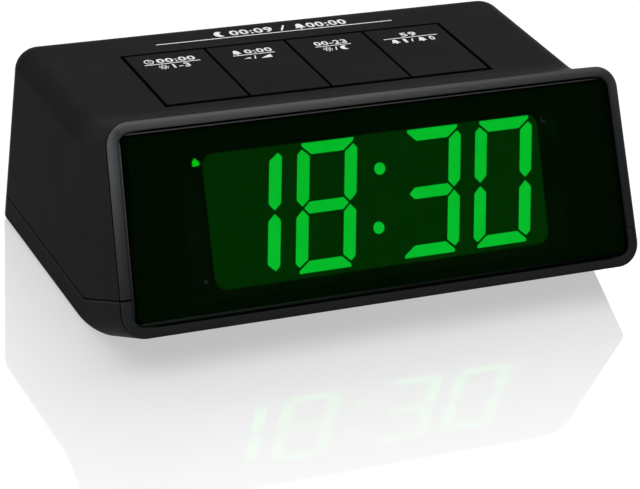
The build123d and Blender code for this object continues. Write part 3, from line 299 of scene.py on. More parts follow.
@dataclass(frozen=True)
class FacePlane:
    """The sloping plane of the display surround, which many places are measured from."""

    lean: float = radians(26.45)
    start: Place = (0.0, -0.044459, 0.0095)
    half_width_mm: float = 70.0
    draft: float = tan(radians(1.9))
    height_mm: float = 50.8
    corner_mm: float = 5.8
    side_fall: float = 0.15
    lit_from_mm: float = 4.0

    @property
    def out(self) -> Place:
        """Direction straight out of the face."""
        return 0.0, -cos(self.lean), sin(self.lean)

    @property
    def up(self) -> Place:
        """Direction up the face."""
        return 0.0, sin(self.lean), cos(self.lean)

    def matrix(self, out_mm: float) -> Matrix:
        """Turn millimetres across, up and out of the face into the frame's metres.

        Args:
            out_mm: Height over the face where the third number is nought.

        Returns:
            The matrix.
        """
        turn = Matrix(((1.0, 0.0, 0.0), self.up, self.out)).transposed().to_4x4()
        lift = Vector(self.start) + Vector(self.out) * out_mm * MM
        return Matrix.Translation(lift) @ turn @ Matrix.Scale(MM, 4)

    def outline(self, inset_mm: float, steps: int) -> list[Point]:
        """The surround's outline drawn in on every side, counter-clockwise.

        Args:
            inset_mm: How far it is drawn in.
            steps: Pieces of each corner's arc.

        Returns:
            Its points, across and up the face.
        """
        low, high = inset_mm, self.height_mm - inset_mm
        reach = [self.half_width_mm - level * cos(self.lean) * self.draft - inset_mm
                 for level in (low, high)]
        corners = [(-reach[0], low), (reach[0], low), (reach[1], high), (-reach[1], high)]
        radius = self.corner_mm - inset_mm
        points: list[Point] = []
        for index, corner in enumerate(corners):
            here = Vector(corner)
            back = (Vector(corners[index - 1]) - here).normalized()
            ahead = (Vector(corners[(index + 1) % 4]) - here).normalized()
            half = acos(back.dot(ahead)) / 2
            middle = here + (back + ahead).normalized() * (radius / sin(half))
            first = here + back * (radius / tan(half)) - middle
            sweep = pi - 2 * half
            for step in range(steps + 1):
                turn = Matrix.Rotation(sweep * step / steps, 2)
                points.append(tuple(middle + turn @ first))
        return points

    def inset(self, bench: Bench) -> Socket:
        """How far a point lies inside the surround's outline.

        Args:
            bench: Tree to add it to.

        Returns:
            The distance in metres.
        """
        up = bench.along(self.up, self.start)
        reach = bench.sum("MULTIPLY_ADD", bench.along(RISE, self.start), -self.draft, self.half_width_mm * MM)
        side = bench.sum("SUBTRACT", reach, bench.apart(ACROSS))
        down = bench.sum("SUBTRACT", self.height_mm * MM, up)
        return bench.sum("MINIMUM", side, bench.sum("MINIMUM", up, down))

    def lit_share(self, bench: Bench, fall: float = 1.0) -> Socket:
        """How far painted light reaches: a value that falls from 1 at the surround's upper left to 0 at its
        lower right.
        """
        along = bench.sum("MULTIPLY_ADD", bench.along(ACROSS), -self.side_fall,
                          bench.along(self.up, self.start))
        return bench.sum("POWER", bench.step(along, self.lit_from_mm, self.height_mm), fall)

    def left_share(self, bench: Bench, low_mm: float, high_mm: float) -> Socket:
        """A value that falls from 1 to 0 between two places on the way to the right."""
        return bench.step(bench.along(ACROSS), high_mm, low_mm)


FACE = FacePlane()


@dataclass(frozen=True)
class CasePlastic(Finish):
    """Case plastic with a smoother, paler surround, partly a painted sheen, and painted shade in its shadow
    lines, lens seat, crease, parting line and key opening, with a painted highlight under the parting line.
    """

    # Painted light on the surround: its pale shade is partly its own tone and partly a painted sheen; the
    # inner and low shades are painted shade.
    rim: Shade = (0.075, 0.077, 0.079)
    rim_swing: float = 1.06
    rim_inner: Shade = (0.036, 0.037, 0.038)
    rim_low: Shade = (0.014, 0.0148, 0.0155)
    rim_low_fall: float = 2.2
    # Painted highlight on the lip under the parting line.
    lip: Shade = (0.022, 0.0215, 0.021)
    # Painted shade for the shadow lines, the gap round the lens, the crease, the parting line, the sides of
    # the key opening and the sill.
    dark: Shade = (0.0008, 0.0008, 0.0008)
    rim_depth_mm: float = 1.2
    rim_edge_mm: float = 0.1
    rim_flat_mm: float = 0.6
    rim_width_mm: float = 2.7
    sill_mm: Point = (0.40, 0.05)
    line_mm: float = 0.3
    line_margins_mm: Point = (0.25, 0.10)
    line_soft_mm: float = 0.03
    crease_share: float = 0.6
    crease_drop_mm: Point = (0.8, 0.3)
    crease_end_mm: float = 2.4
    crease_soft_mm: float = 1.0
    seat_margins_mm: Point = (0.45, 0.25)
    seat_depth_mm: Point = (0.12, 6.0)
    seat_fade_mm: Point = (64.5, 61.0)
    parting_mm: float = 6.8
    parting_up_mm: float = 9.4
    parting_reach_mm: float = 24.9
    parting_kink_mm: float = 0.25
    parting_fade_mm: Point = (0.0, 1.0)
    parting_margins_mm: Point = (0.05, 0.12)
    lip_mm: float = 0.40
    behind_mm: Point = (0.2, 0.4)
    opening_x_mm: float = 45.2
    opening_y_mm: Point = (-2.15, 28.85)
    opening_z_mm: Point = (40.0, 47.35)
    opening_edge_mm: float = 0.05
    opening_soft_mm: float = 0.3

    def colour(self, bench: Bench) -> Socket:
        """Lay the surround's shade, the painted highlight on the lip and the painted shade in the dark places
        over the plain shade.

        Args:
            bench: Tree to add it to.

        Returns:
            The shade.
        """
        plain = super().colour(bench)
        deep = bench.along(tuple(-part for part in FACE.out), FACE.start)
        up = bench.along(FACE.up, FACE.start)
        behind = bench.step(deep, *(self.rim_depth_mm + self.line_mm + gap for gap in self.behind_mm))
        rim = self.rim_shade(bench, up)
        front = bench.step(deep, self.rim_depth_mm, self.rim_depth_mm - self.rim_edge_mm)
        shade = bench.painted(plain, rim, front)
        # Painted shade in the crease behind the top of the surround.
        crease = bench.times(
            bench.step(up, *(FACE.height_mm - drop for drop in self.crease_drop_mm)),
            bench.within(deep, self.rim_depth_mm, self.crease_end_mm, self.crease_soft_mm), self.crease_share)
        shade = bench.painted(shade, self.dark, crease)
        lip, groove = self.parting(bench, deep, up, behind)
        # Painted highlight on the lip under the parting line, behind the surround.
        shade = bench.painted(shade, self.lip, bench.times(lip, behind))
        # Painted shade in the groove round the surround, the gap round the lens, the parting line and the
        # sides of the key opening.
        line = bench.within(deep, self.rim_depth_mm - self.line_margins_mm[0],
                            self.rim_depth_mm + self.line_mm + self.line_margins_mm[1], self.line_soft_mm)
        for place in (line, self.seat(bench, deep), groove, self.opening(bench)):
            shade = bench.painted(shade, self.dark, place)
        return shade

    def rim_shade(self, bench: Bench, up: Socket) -> Socket:
        """The surround's shade: pale, partly its own tone and partly a painted sheen, with painted shade
        lower down and to the right, along its inner edge and along its sill.

        Args:
            bench: Tree to add it to.
            up: Distance up the face.

        Returns:
            The shade.
        """
        patches = bench.tints(bench.noise(self.patch_mm), self.rim,
                              tuple(self.rim_swing * part for part in self.rim))
        shade = bench.painted(patches, self.rim_inner,
                              bench.step(FACE.inset(bench), self.rim_flat_mm, self.rim_width_mm))
        low = bench.sum("SUBTRACT", 1.0, FACE.lit_share(bench, self.rim_low_fall))
        shade = bench.painted(shade, self.rim_low, low)
        # Painted shade along the sill, where the surround's lower edge turns down towards the floor.
        return bench.painted(shade, self.dark, bench.step(up, *self.sill_mm))

    def parting(self, bench: Bench, deep: Socket, up: Socket,
                behind: Socket) -> list[Socket]:
        """Where the parting line runs: along the face in front, and level farther back.

        Args:
            bench: Tree to add it to.
            deep: Distance behind the face.
            up: Distance up the face.
            behind: 1 behind the surround.

        Returns:
            The band under the line, where a painted highlight goes, and the line itself, where painted shade
            goes.
        """
        near = bench.step(deep, self.parting_reach_mm + self.parting_kink_mm, self.parting_reach_mm)
        far = bench.sum("SUBTRACT", 1.0, near)
        shown = bench.sum("MAXIMUM", FACE.left_share(bench, *self.parting_fade_mm), behind)
        rise_mm = self.parting_up_mm - self.parting_mm
        start_mm = self.parting_mm - self.parting_margins_mm[0]
        end_mm = self.parting_mm + self.line_mm + self.parting_margins_mm[1]
        bands = []
        for low_mm, high_mm in ((self.parting_mm - self.lip_mm, start_mm), (start_mm, end_mm)):
            front = bench.within(up, low_mm + rise_mm, high_mm + rise_mm, self.line_soft_mm)
            back = bench.within(bench.along(RISE), low_mm, high_mm, self.line_soft_mm)
            bands.append(bench.sum("MAXIMUM", bench.times(near, shown, front), bench.times(far, back)))
        return bands

    def seat(self, bench: Bench, deep: Socket) -> Socket:
        """1 in the gap around the lens that gets painted shade, on its long sides alone, and 0 elsewhere."""
        inner = bench.step(FACE.inset(bench), *(self.rim_width_mm - gap for gap in self.seat_margins_mm))
        return bench.times(inner, bench.within(deep, *self.seat_depth_mm),
                           bench.step(bench.apart(ACROSS), *self.seat_fade_mm))

    def opening(self, bench: Bench) -> Socket:
        """The sides of the opening that the keys stand in, which get painted shade.

        Args:
            bench: Tree to add it to.

        Returns:
            1 on them, and 0 elsewhere.
        """
        (low_mm, high_mm), soft_mm = self.opening_z_mm, self.opening_soft_mm
        height = bench.along(RISE)
        return bench.times(
            bench.within(bench.along(BACK), *self.opening_y_mm),
            bench.step(bench.apart(ACROSS), self.opening_x_mm + self.opening_edge_mm, self.opening_x_mm),
            bench.step(height, high_mm, high_mm - soft_mm), bench.step(height, low_mm, low_mm + soft_mm))


@dataclass(frozen=True)
class KeyPlastic(Finish):
    """Key plastic, satin on top, with painted shade down the sides."""

    # Painted shade for the key sides, where the gaps between keys fall into shadow.
    dark: Shade = (0.0008, 0.0008, 0.0008)
    edge_mm: Point = (0.12, 0.3)

    def colour(self, bench: Bench) -> Socket:
        """The plain shade, with painted shade on the sides under the rounded top edge."""
        below = bench.step(bench.along(RISE), *(TOP_MM - drop for drop in self.edge_mm))
        return bench.painted(super().colour(bench), self.dark, below)


@dataclass(frozen=True)
class LensEdge(Finish):
    """The lens's polished edge: a painted highlight as a fine pale line outermost, and a painted reflection
    of the floor as a grey-green foot.
    """

    # Painted highlight along the outer edge, fading towards the lower right.
    line: Shade = (0.085, 0.090, 0.086)
    line_mm: Point = (3.2, 3.1)
    line_fade_mm: Point = (60.0, 64.0)
    # Painted reflection of the pale floor along the lower edge, fading to the right.
    foot: Shade = (0.011, 0.016, 0.012)
    foot_mm: Point = (3.75, 3.55)
    foot_fade_mm: Point = (-40.0, 70.0)

    def colour(self, bench: Bench) -> Socket:
        """Lay the painted highlight line and the painted reflection foot over the dark edge.

        Args:
            bench: Tree to add it to.

        Returns:
            The shade.
        """
        line = bench.times(bench.step(FACE.inset(bench), *self.line_mm), FACE.lit_share(bench),
                           FACE.left_share(bench, *self.line_fade_mm))
        foot = bench.times(bench.step(bench.along(FACE.up, FACE.start), *self.foot_mm),
                           FACE.left_share(bench, *self.foot_fade_mm))
        return bench.painted(bench.painted(super().colour(bench), self.line, line), self.foot, foot)


@dataclass(frozen=True)
class Glow(Finish):
    """A finish that gives off light, slightly uneven from place to place."""

    light: Shade = (0.0, 1.0, 0.0)
    dimmer: Shade = (0.0, 0.9, 0.0)
    level: float = 1.0

    def dressing(self, bench: Bench) -> bpy.types.Node:
        """Add the light to the plain dressing.

        Args:
            bench: Tree to add it to.

        Returns:
            The shader.
        """
        shader = super().dressing(bench)
        patches = bench.noise(self.patch_mm / 2, 1.0)
        bench.feed(shader, {"Emission Color": bench.tints(patches, self.dimmer, self.light),
                            "Emission Strength": self.level})
        return shader


@dataclass(frozen=True)
class ClearSheet(Finish):
    """A clear or tinted sheet that light passes through, with a painted glow if wanted."""

    index: float = 1.3
    light: Shade = (0.0, 0.0, 0.0)
    dimming: float = 0.9
    level: float = 0.0

    def dressing(self, bench: Bench) -> bpy.types.Node:
        """Let light through the plain dressing.

        Args:
            bench: Tree to add it to.

        Returns:
            The shader.
        """
        shader = super().dressing(bench)
        bench.feed(shader, {"Transmission Weight": 1.0, "IOR": self.index})
        if self.level:
            dim: Shade = tuple(self.dimming * part for part in self.light)
            glow = bench.tints(bench.noise(self.patch_mm * 2, 1.0), dim, self.light)
            bench.feed(shader, {"Emission Color": glow, "Emission Strength": self.level})
        return shader


@dataclass(frozen=True)
class BoardFinish(Finish):
    """Circuit board: woven resin with copper tracks showing under the lacquer."""

    track: Shade = (0.02, 0.16, 0.06)
    track_pitch_mm: float = 2.54
    track_share: float = 0.09
    track_run: float = 5.0

    def dressing(self, bench: Bench) -> bpy.types.Node:
        """Lay tracks over the plain dressing.

        Args:
            bench: Tree to add it to.

        Returns:
            The shader.
        """
        shader = super().dressing(bench)
        brick = bench.node("TexBrick", {
            "Vector": bench.place, "Scale": 1 / (self.track_pitch_mm * MM), "Mortar Size": self.track_share,
            "Brick Width": self.track_run, "Row Height": 1.0,
            "Color1": self.shade, "Color2": self.second, "Mortar": self.track})
        bench.feed(shader, {"Base Color": brick.outputs["Color"]})
        return shader


# Finishes, named for what they cover
CASE_BLACK = CasePlastic(
    "satin_black_case", (0.0088, 0.0085, 0.0086), (0.0108, 0.0104, 0.0105), rough=0.38, rough_swing=0.03,
    grain_mm=0.35, relief_mm=0.0035, specular=0.003)
KEY_BLACK = KeyPlastic(
    "satin_black_keys", (0.0078, 0.0078, 0.0081), (0.0094, 0.0094, 0.0098), rough=0.38, rough_swing=0.03,
    grain_mm=0.28, specular=0.003)
PRINT_WHITE = Finish(
    "white_key_print", (0.50, 0.50, 0.50), (0.60, 0.60, 0.59), rough=0.6, grain=Grain.SPECKLED,
    grain_mm=0.12, relief_mm=0.002, patch_mm=1.5)
LENS_CLEAR = ClearSheet(
    "tinted_lens", (0.90, 0.97, 0.91), (0.93, 0.99, 0.94), rough=0.02, rough_swing=0.01, grain=Grain.ROLLED,
    grain_mm=30.0, relief_mm=0.001, patch_mm=60.0, index=1.03)
# Painted glow: the faint green that the display spills over the black mask is given off by the mask itself.
MASK_BLACK = Glow(
    "black_lens_mask", (0.0003, 0.0004, 0.0003), (0.0004, 0.0005, 0.0004), rough=0.7, grain=Grain.SPECKLED,
    grain_mm=0.2, relief_mm=0.001, specular=0.0, patch_mm=30.0, light=(0.0004, 0.0028, 0.0001),
    dimmer=(0.0004, 0.0025, 0.0001))
MARK_GREY = Finish(
    "idle_mark_print", (0.012, 0.013, 0.016), (0.015, 0.016, 0.019), rough=0.6, grain=Grain.SPECKLED,
    grain_mm=0.1, relief_mm=0.001, patch_mm=0.8, specular=0.0)
LENS_EDGE_PAINTED_LIGHT = LensEdge(
    "lens_edge_satin", (0.0004, 0.0010, 0.0004), (0.0005, 0.0012, 0.0005), rough=0.3, rough_swing=0.02,
    grain=Grain.ROLLED, grain_mm=3.0, relief_mm=0.002, patch_mm=20.0, specular=0.0)
# Painted glow: the green light that the lit segments scatter into the filter is given off by the filter
# itself.
FILTER_GREEN = ClearSheet(
    "green_filter", (0.02, 0.80, 0.05), (0.025, 0.84, 0.06), rough=0.05, rough_swing=0.01,
    grain=Grain.ROLLED, grain_mm=20.0, relief_mm=0.001, patch_mm=40.0, specular=0.1, index=1.05,
    light=(0.0001, 0.0112, 0.0001), level=1.0)
# Painted glow: the faint green that the display spills over the foam tape is given off by the tape itself.
FOAM_BLACK = Glow(
    "black_foam_tape", (0.0003, 0.0004, 0.0003), (0.0004, 0.0005, 0.0004), rough=0.95, grain=Grain.FOAMED,
    grain_mm=0.25, relief_mm=0.02, specular=0.0, patch_mm=30.0, light=(0.0003, 0.0029, 0.0001),
    dimmer=(0.0003, 0.0026, 0.0001))
MODULE_BLACK = Finish(
    "display_module_black", (0.0015, 0.0015, 0.0015), (0.0020, 0.0020, 0.0020), rough=0.8, grain_mm=0.25,
    relief_mm=0.001, specular=0.0)
SEGMENT_GREEN = Glow(
    "segment_green", (0.004, 0.030, 0.008), (0.006, 0.036, 0.010), rough=0.55, grain_mm=0.4,
    relief_mm=0.001, patch_mm=9.0, specular=0.2, light=(0.055, 0.560, 0.44), dimmer=(0.045, 0.530, 0.41))
MARK_GREEN = Glow(
    "alarm_mark_green", (0.03, 0.30, 0.06), (0.05, 0.34, 0.08), rough=0.5, relief_mm=0.001, patch_mm=2.0,
    specular=0.2, light=(0.02, 0.50, 0.06), dimmer=(0.05, 0.42, 0.09))
SEGMENT_DARK = Finish(
    "unlit_segment_face", (0.0015, 0.0016, 0.0015), (0.0020, 0.0022, 0.0020), rough=0.8, grain_mm=0.4,
    relief_mm=0.001, specular=0.0)
MARK_DARK = Finish(
    "idle_mark_grey", (0.012, 0.013, 0.016), (0.015, 0.016, 0.019), rough=0.6, relief_mm=0.001,
    specular=0.1)
DIE_YELLOW = Finish(
    "led_die", (0.55, 0.38, 0.05), (0.62, 0.45, 0.08), rough=0.35, grain=Grain.ROLLED, relief_mm=0.002,
    patch_mm=0.8)
BOARD_GREEN = BoardFinish(
    "circuit_board", (0.010, 0.085, 0.032), (0.013, 0.10, 0.038), rough=0.35, grain=Grain.WOVEN,
    grain_mm=0.5, relief_mm=0.004)
CHIP_BLACK = Finish(
    "chip_resin", (0.014, 0.014, 0.015), (0.020, 0.020, 0.021), rough=0.55, grain_mm=0.12, relief_mm=0.004,
    patch_mm=3.0)
PLATED_STEEL = Finish(
    "zinc_plated_steel", (0.52, 0.52, 0.53), (0.62, 0.61, 0.60), rough=0.3, grain=Grain.BRUSHED,
    grain_mm=0.15, relief_mm=0.002, patch_mm=2.5, metal=1.0)
SPRING_STEEL = Finish(
    "leaf_spring_steel", (0.56, 0.55, 0.52), (0.66, 0.65, 0.62), rough=0.24, grain=Grain.BRUSHED,
    grain_mm=0.2, relief_mm=0.002, patch_mm=4.0, metal=1.0)
PIN_BRASS = Finish(
    "nickelled_brass", (0.64, 0.58, 0.44), (0.72, 0.65, 0.50), rough=0.26, grain=Grain.BRUSHED,
    grain_mm=0.15, relief_mm=0.002, patch_mm=2.0, metal=1.0)
CAN_SLEEVE = Finish(
    "capacitor_sleeve", (0.012, 0.016, 0.045), (0.016, 0.021, 0.058), rough=0.32, grain=Grain.ROLLED,
    grain_mm=0.8, relief_mm=0.006, patch_mm=4.0)
FOOT_RUBBER = Finish(
    "ribbed_foot_rubber", (0.016, 0.016, 0.017), (0.024, 0.024, 0.025), rough=0.85, grain=Grain.FOAMED,
    grain_mm=0.35, relief_mm=0.02, patch_mm=3.0, specular=0.3)
CELL_WRAP = Finish(
    "cell_wrap", (0.06, 0.10, 0.30), (0.075, 0.12, 0.35), rough=0.3, grain=Grain.ROLLED, grain_mm=2.5,
    relief_mm=0.01, patch_mm=8.0)
WIRE_RED = Finish(
    "red_lead", (0.42, 0.015, 0.012), (0.50, 0.022, 0.018), rough=0.42, grain=Grain.ROLLED, grain_mm=0.6,
    relief_mm=0.01, patch_mm=4.0)
RIBBON_GREY = Finish(
    "grey_ribbon", (0.26, 0.26, 0.27), (0.33, 0.33, 0.34), rough=0.5, grain=Grain.BRUSHED, grain_mm=1.0,
    relief_mm=0.03, patch_mm=6.0)
BUZZER_BLACK = Finish(
    "buzzer_shell", (0.014, 0.014, 0.014), (0.019, 0.019, 0.019), rough=0.38, grain_mm=0.2, patch_mm=4.0)
SWITCH_BLACK = Finish(
    "switch_body", (0.020, 0.020, 0.022), (0.026, 0.026, 0.028), rough=0.4, grain_mm=0.2, patch_mm=3.0)
STEM_CREAM = Finish(
    "switch_stem", (0.55, 0.50, 0.40), (0.62, 0.57, 0.47), rough=0.42, grain_mm=0.2, patch_mm=2.0)
RESISTOR_BLACK = Finish(
    "resistor_glaze", (0.018, 0.018, 0.020), (0.030, 0.030, 0.033), rough=0.28, grain=Grain.ROLLED,
    grain_mm=0.4, patch_mm=1.0)


def stand(name: str, data: bpy.types.ID) -> bpy.types.Object:
    """Make an object of a mesh, curve, lamp or camera, and put it in the scene."""
    made = bpy.data.objects.new(name, data)
    bpy.context.scene.collection.objects.link(made)
    return made


def dress(finish: Finish, *names: str) -> None:
    """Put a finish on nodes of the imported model."""
    for name in names:
        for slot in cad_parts[name].material_slots:
            slot.material = finish.material()
        log.info("node %s: %s", name, finish.name)


def place_piece(name: str, mesh: bmesh.types.BMesh, body: str, finish: Finish) -> None:
    """Turn a worked mesh into a dressed piece that moves with a body.

    Args:
        name: Name of the piece.
        mesh: The worked mesh, in metres; it is used up.
        body: Body that the piece moves with.
        finish: Its finish.
    """
    data = bpy.data.meshes.new(name)
    mesh.to_mesh(data)
    mesh.free()
    data.materials.append(finish.material())
    piece = stand(name, data)
    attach(piece, body)
    log.info("piece %s on %s", name, body)


def level_plane(height_mm: float) -> Matrix:
    """The level surface at a height, which takes a stencil's millimetres to the frame's metres."""
    return Matrix.Translation((0.0, 0.0, height_mm * MM)) @ Matrix.Scale(MM, 4)


def around(middle: Point, reach: float, steps: int) -> list[Point]:
    """Points on a circle, counter-clockwise from its right."""
    return [(middle[0] + reach * cos(tau * step / steps), middle[1] + reach * sin(tau * step / steps))
            for step in range(steps)]


@dataclass
class Stencil:
    """Flat printed shapes, gathered in millimetres and made into one thin raised mesh."""

    film_mm: float = 0.03  # thickness of the print over the surface
    sunk_mm: float = 0.01  # depth of its lower face under the surface
    disc_steps: int = 28
    ring_steps: int = 36
    moon_steps: tuple[int, int] = (22, 18)
    moon_mouth: float = 0.9  # half the angle that the crescent leaves open
    moon_bite: float = 0.82
    figure_swell: float = 0.03
    figure_pitch: float = 1.1
    mesh: bmesh.types.BMesh = field(default_factory=bmesh.new)

    def shape(self, outline: Iterable[Point]) -> None:
        """Add a filled outline, its corners given counter-clockwise."""
        self.mesh.faces.new([self.mesh.verts.new((*corner, 0.0)) for corner in outline])

    def bar(self, start: Point, end: Point, breadth: float) -> None:
        """Add a straight bar with square ends.

        Args:
            start: Middle of one end.
            end: Middle of the other end.
            breadth: Its breadth.
        """
        first, last = Vector(start), Vector(end)
        run = last - first
        side = Vector((-run.y, run.x)).normalized() * breadth / 2
        self.shape([tuple(first - side), tuple(last - side), tuple(last + side), tuple(first + side)])

    def disc(self, middle: Point, radius: float) -> None:
        """Add a round spot."""
        self.shape(around(middle, radius, self.disc_steps))

    def ring(self, middle: Point, radius: float, breadth: float) -> None:
        """Add a ring.

        Args:
            middle: Its middle.
            radius: Its outer radius.
            breadth: Breadth of its line.
        """
        outer, inner = ([self.mesh.verts.new((*point, 0.0))
                         for point in around(middle, reach, self.ring_steps)]
                        for reach in (radius, radius - breadth))
        for step in range(self.ring_steps):
            after = (step + 1) % self.ring_steps
            self.mesh.faces.new((outer[step], outer[after], inner[after], inner[step]))

    def bell(self, middle: Point, height: float) -> None:
        """Add a bell with its clapper.

        Args:
            middle: Its middle.
            height: Its height.
        """
        left = [(-0.46, -0.30), (-0.36, -0.18), (-0.31, 0.02), (-0.27, 0.22), (-0.17, 0.38), (-0.05, 0.45)]
        outline = left + [(-across, along) for across, along in reversed(left)]
        self.shape([(middle[0] + across * height, middle[1] + along * height)
                    for across, along in reversed(outline)])
        self.disc((middle[0], middle[1] - 0.40 * height), 0.10 * height)

    def moon(self, middle: Point, radius: float) -> None:
        """Add a crescent, open to the right.

        Args:
            middle: Middle of its outer round.
            radius: Radius of its outer round.
        """
        mouth, bite = self.moon_mouth, self.moon_bite * radius
        steps, bite_steps = self.moon_steps
        outer = [(radius * cos(turn), radius * sin(turn))
                 for turn in (mouth + (tau - 2 * mouth) * step / steps for step in range(steps + 1))]
        centre = radius * cos(mouth) + (bite ** 2 - (radius * sin(mouth)) ** 2) ** 0.5
        gape = acos((radius * cos(mouth) - centre) / bite)
        inner = [(centre + bite * cos(turn), bite * sin(turn))
                 for turn in (tau - gape - (tau - 2 * gape) * step / bite_steps
                              for step in range(1, bite_steps))]
        self.shape([(middle[0] + across, middle[1] + along) for across, along in outer + inner])

    def sun(self, middle: Point, radius: float) -> None:
        """Add a ring with eight rays.

        Args:
            middle: Its middle.
            radius: Reach of its rays.
        """
        self.ring(middle, 0.55 * radius, 0.2 * radius)
        for start, end in zip(around(middle, 0.70 * radius, 8), around(middle, radius, 8)):
            self.bar(start, end, 0.22 * radius)

    def dial(self, middle: Point, radius: float) -> None:
        """Add a clock dial with two hands.

        Args:
            middle: Its middle.
            radius: Its outer radius.
        """
        self.ring(middle, radius, 0.24 * radius)
        self.bar(middle, (middle[0], middle[1] + 0.62 * radius), 0.22 * radius)
        self.bar(middle, (middle[0] + 0.48 * radius, middle[1]), 0.22 * radius)

    def figures(self, text: str, middle: Point, height: float, breadth: float) -> None:
        """Add a row of plain figures, fitted to a height and a breadth.

        Args:
            text: The figures.
            middle: Middle of the row.
            height: Height of the figures.
            breadth: Breadth of the whole row.
        """
        curve = bpy.data.curves.new("figures", "FONT")
        curve.body = text
        curve.offset, curve.space_character = self.figure_swell, self.figure_pitch
        curve.resolution_u = 4
        holder = stand("figures", curve)
        bpy.context.view_layer.update()
        flat = bpy.data.meshes.new_from_object(holder)
        bpy.data.objects.remove(holder)
        bpy.data.curves.remove(curve)
        low, high = ([pick(vertex.co[axis] for vertex in flat.vertices) for axis in (0, 1)]
                     for pick in (min, max))
        scale = [breadth / (high[0] - low[0]), height / (high[1] - low[1])]
        for vertex in flat.vertices:
            vertex.co = [middle[axis] + (vertex.co[axis] - (low[axis] + high[axis]) / 2) * scale[axis]
                         for axis in (0, 1)] + [0.0]
        self.mesh.from_mesh(flat)
        bpy.data.meshes.remove(flat)

    def make(self, name: str, plane: Matrix, body: str, finish: Finish) -> None:
        """Raise the shapes off a surface and hand them to a body.

        Args:
            name: Name of the piece.
            plane: Turns the stencil's millimetres into the frame's metres on that surface.
            body: Body that it moves with.
            finish: Its finish.
        """
        bmesh.ops.remove_doubles(self.mesh, verts=self.mesh.verts[:], dist=0.001)
        bmesh.ops.recalc_face_normals(self.mesh, faces=self.mesh.faces[:])
        raised = bmesh.ops.extrude_face_region(self.mesh, geom=self.mesh.faces[:])
        for item in raised["geom"]:
            if isinstance(item, bmesh.types.BMVert):
                item.co.z = self.film_mm + self.sunk_mm
        for vertex in self.mesh.verts:
            vertex.co = plane @ (vertex.co - Vector((0.0, 0.0, self.sunk_mm)))
        bmesh.ops.recalc_face_normals(self.mesh, faces=self.mesh.faces[:])
        place_piece(name, self.mesh, body, finish)


@dataclass
class Housing:
    """The two case halves, what holds them together and what they stand on."""

    rule_start_mm: float = -33.5
    rule_end_mm: float = 33.3
    rule_at_mm: float = 33.04
    rule_breadth_mm: float = 0.34
    caption_at_mm: float = 35.35
    caption_height_mm: float = 3.0

    def build(self) -> None:
        """Dress the case and print the caption behind the keys."""
        dress(CASE_BLACK, "upper_case", "lower_case")
        dress(PLATED_STEEL, "case_screws")
        dress(FOOT_RUBBER, "feet")
        self.caption()

    def caption(self) -> None:
        """Print the long rule with its row of signs."""
        stencil = Stencil()
        level, height = self.caption_at_mm, self.caption_height_mm
        stencil.bar((self.rule_start_mm, self.rule_at_mm), (self.rule_end_mm, self.rule_at_mm),
                    self.rule_breadth_mm)
        stencil.moon((-15.0, level), 0.52 * height)
        stencil.figures("00:09", (-6.2, level), height, 12.0)
        stencil.bar((1.9, level - height / 2), (3.6, level + height / 2), 0.5)
        stencil.bell((7.6, level), 1.1 * height)
        stencil.figures("00:00", (15.2, level), height, 11.4)
        stencil.make("top_caption_print", level_plane(TOP_MM), "housing", PRINT_WHITE)


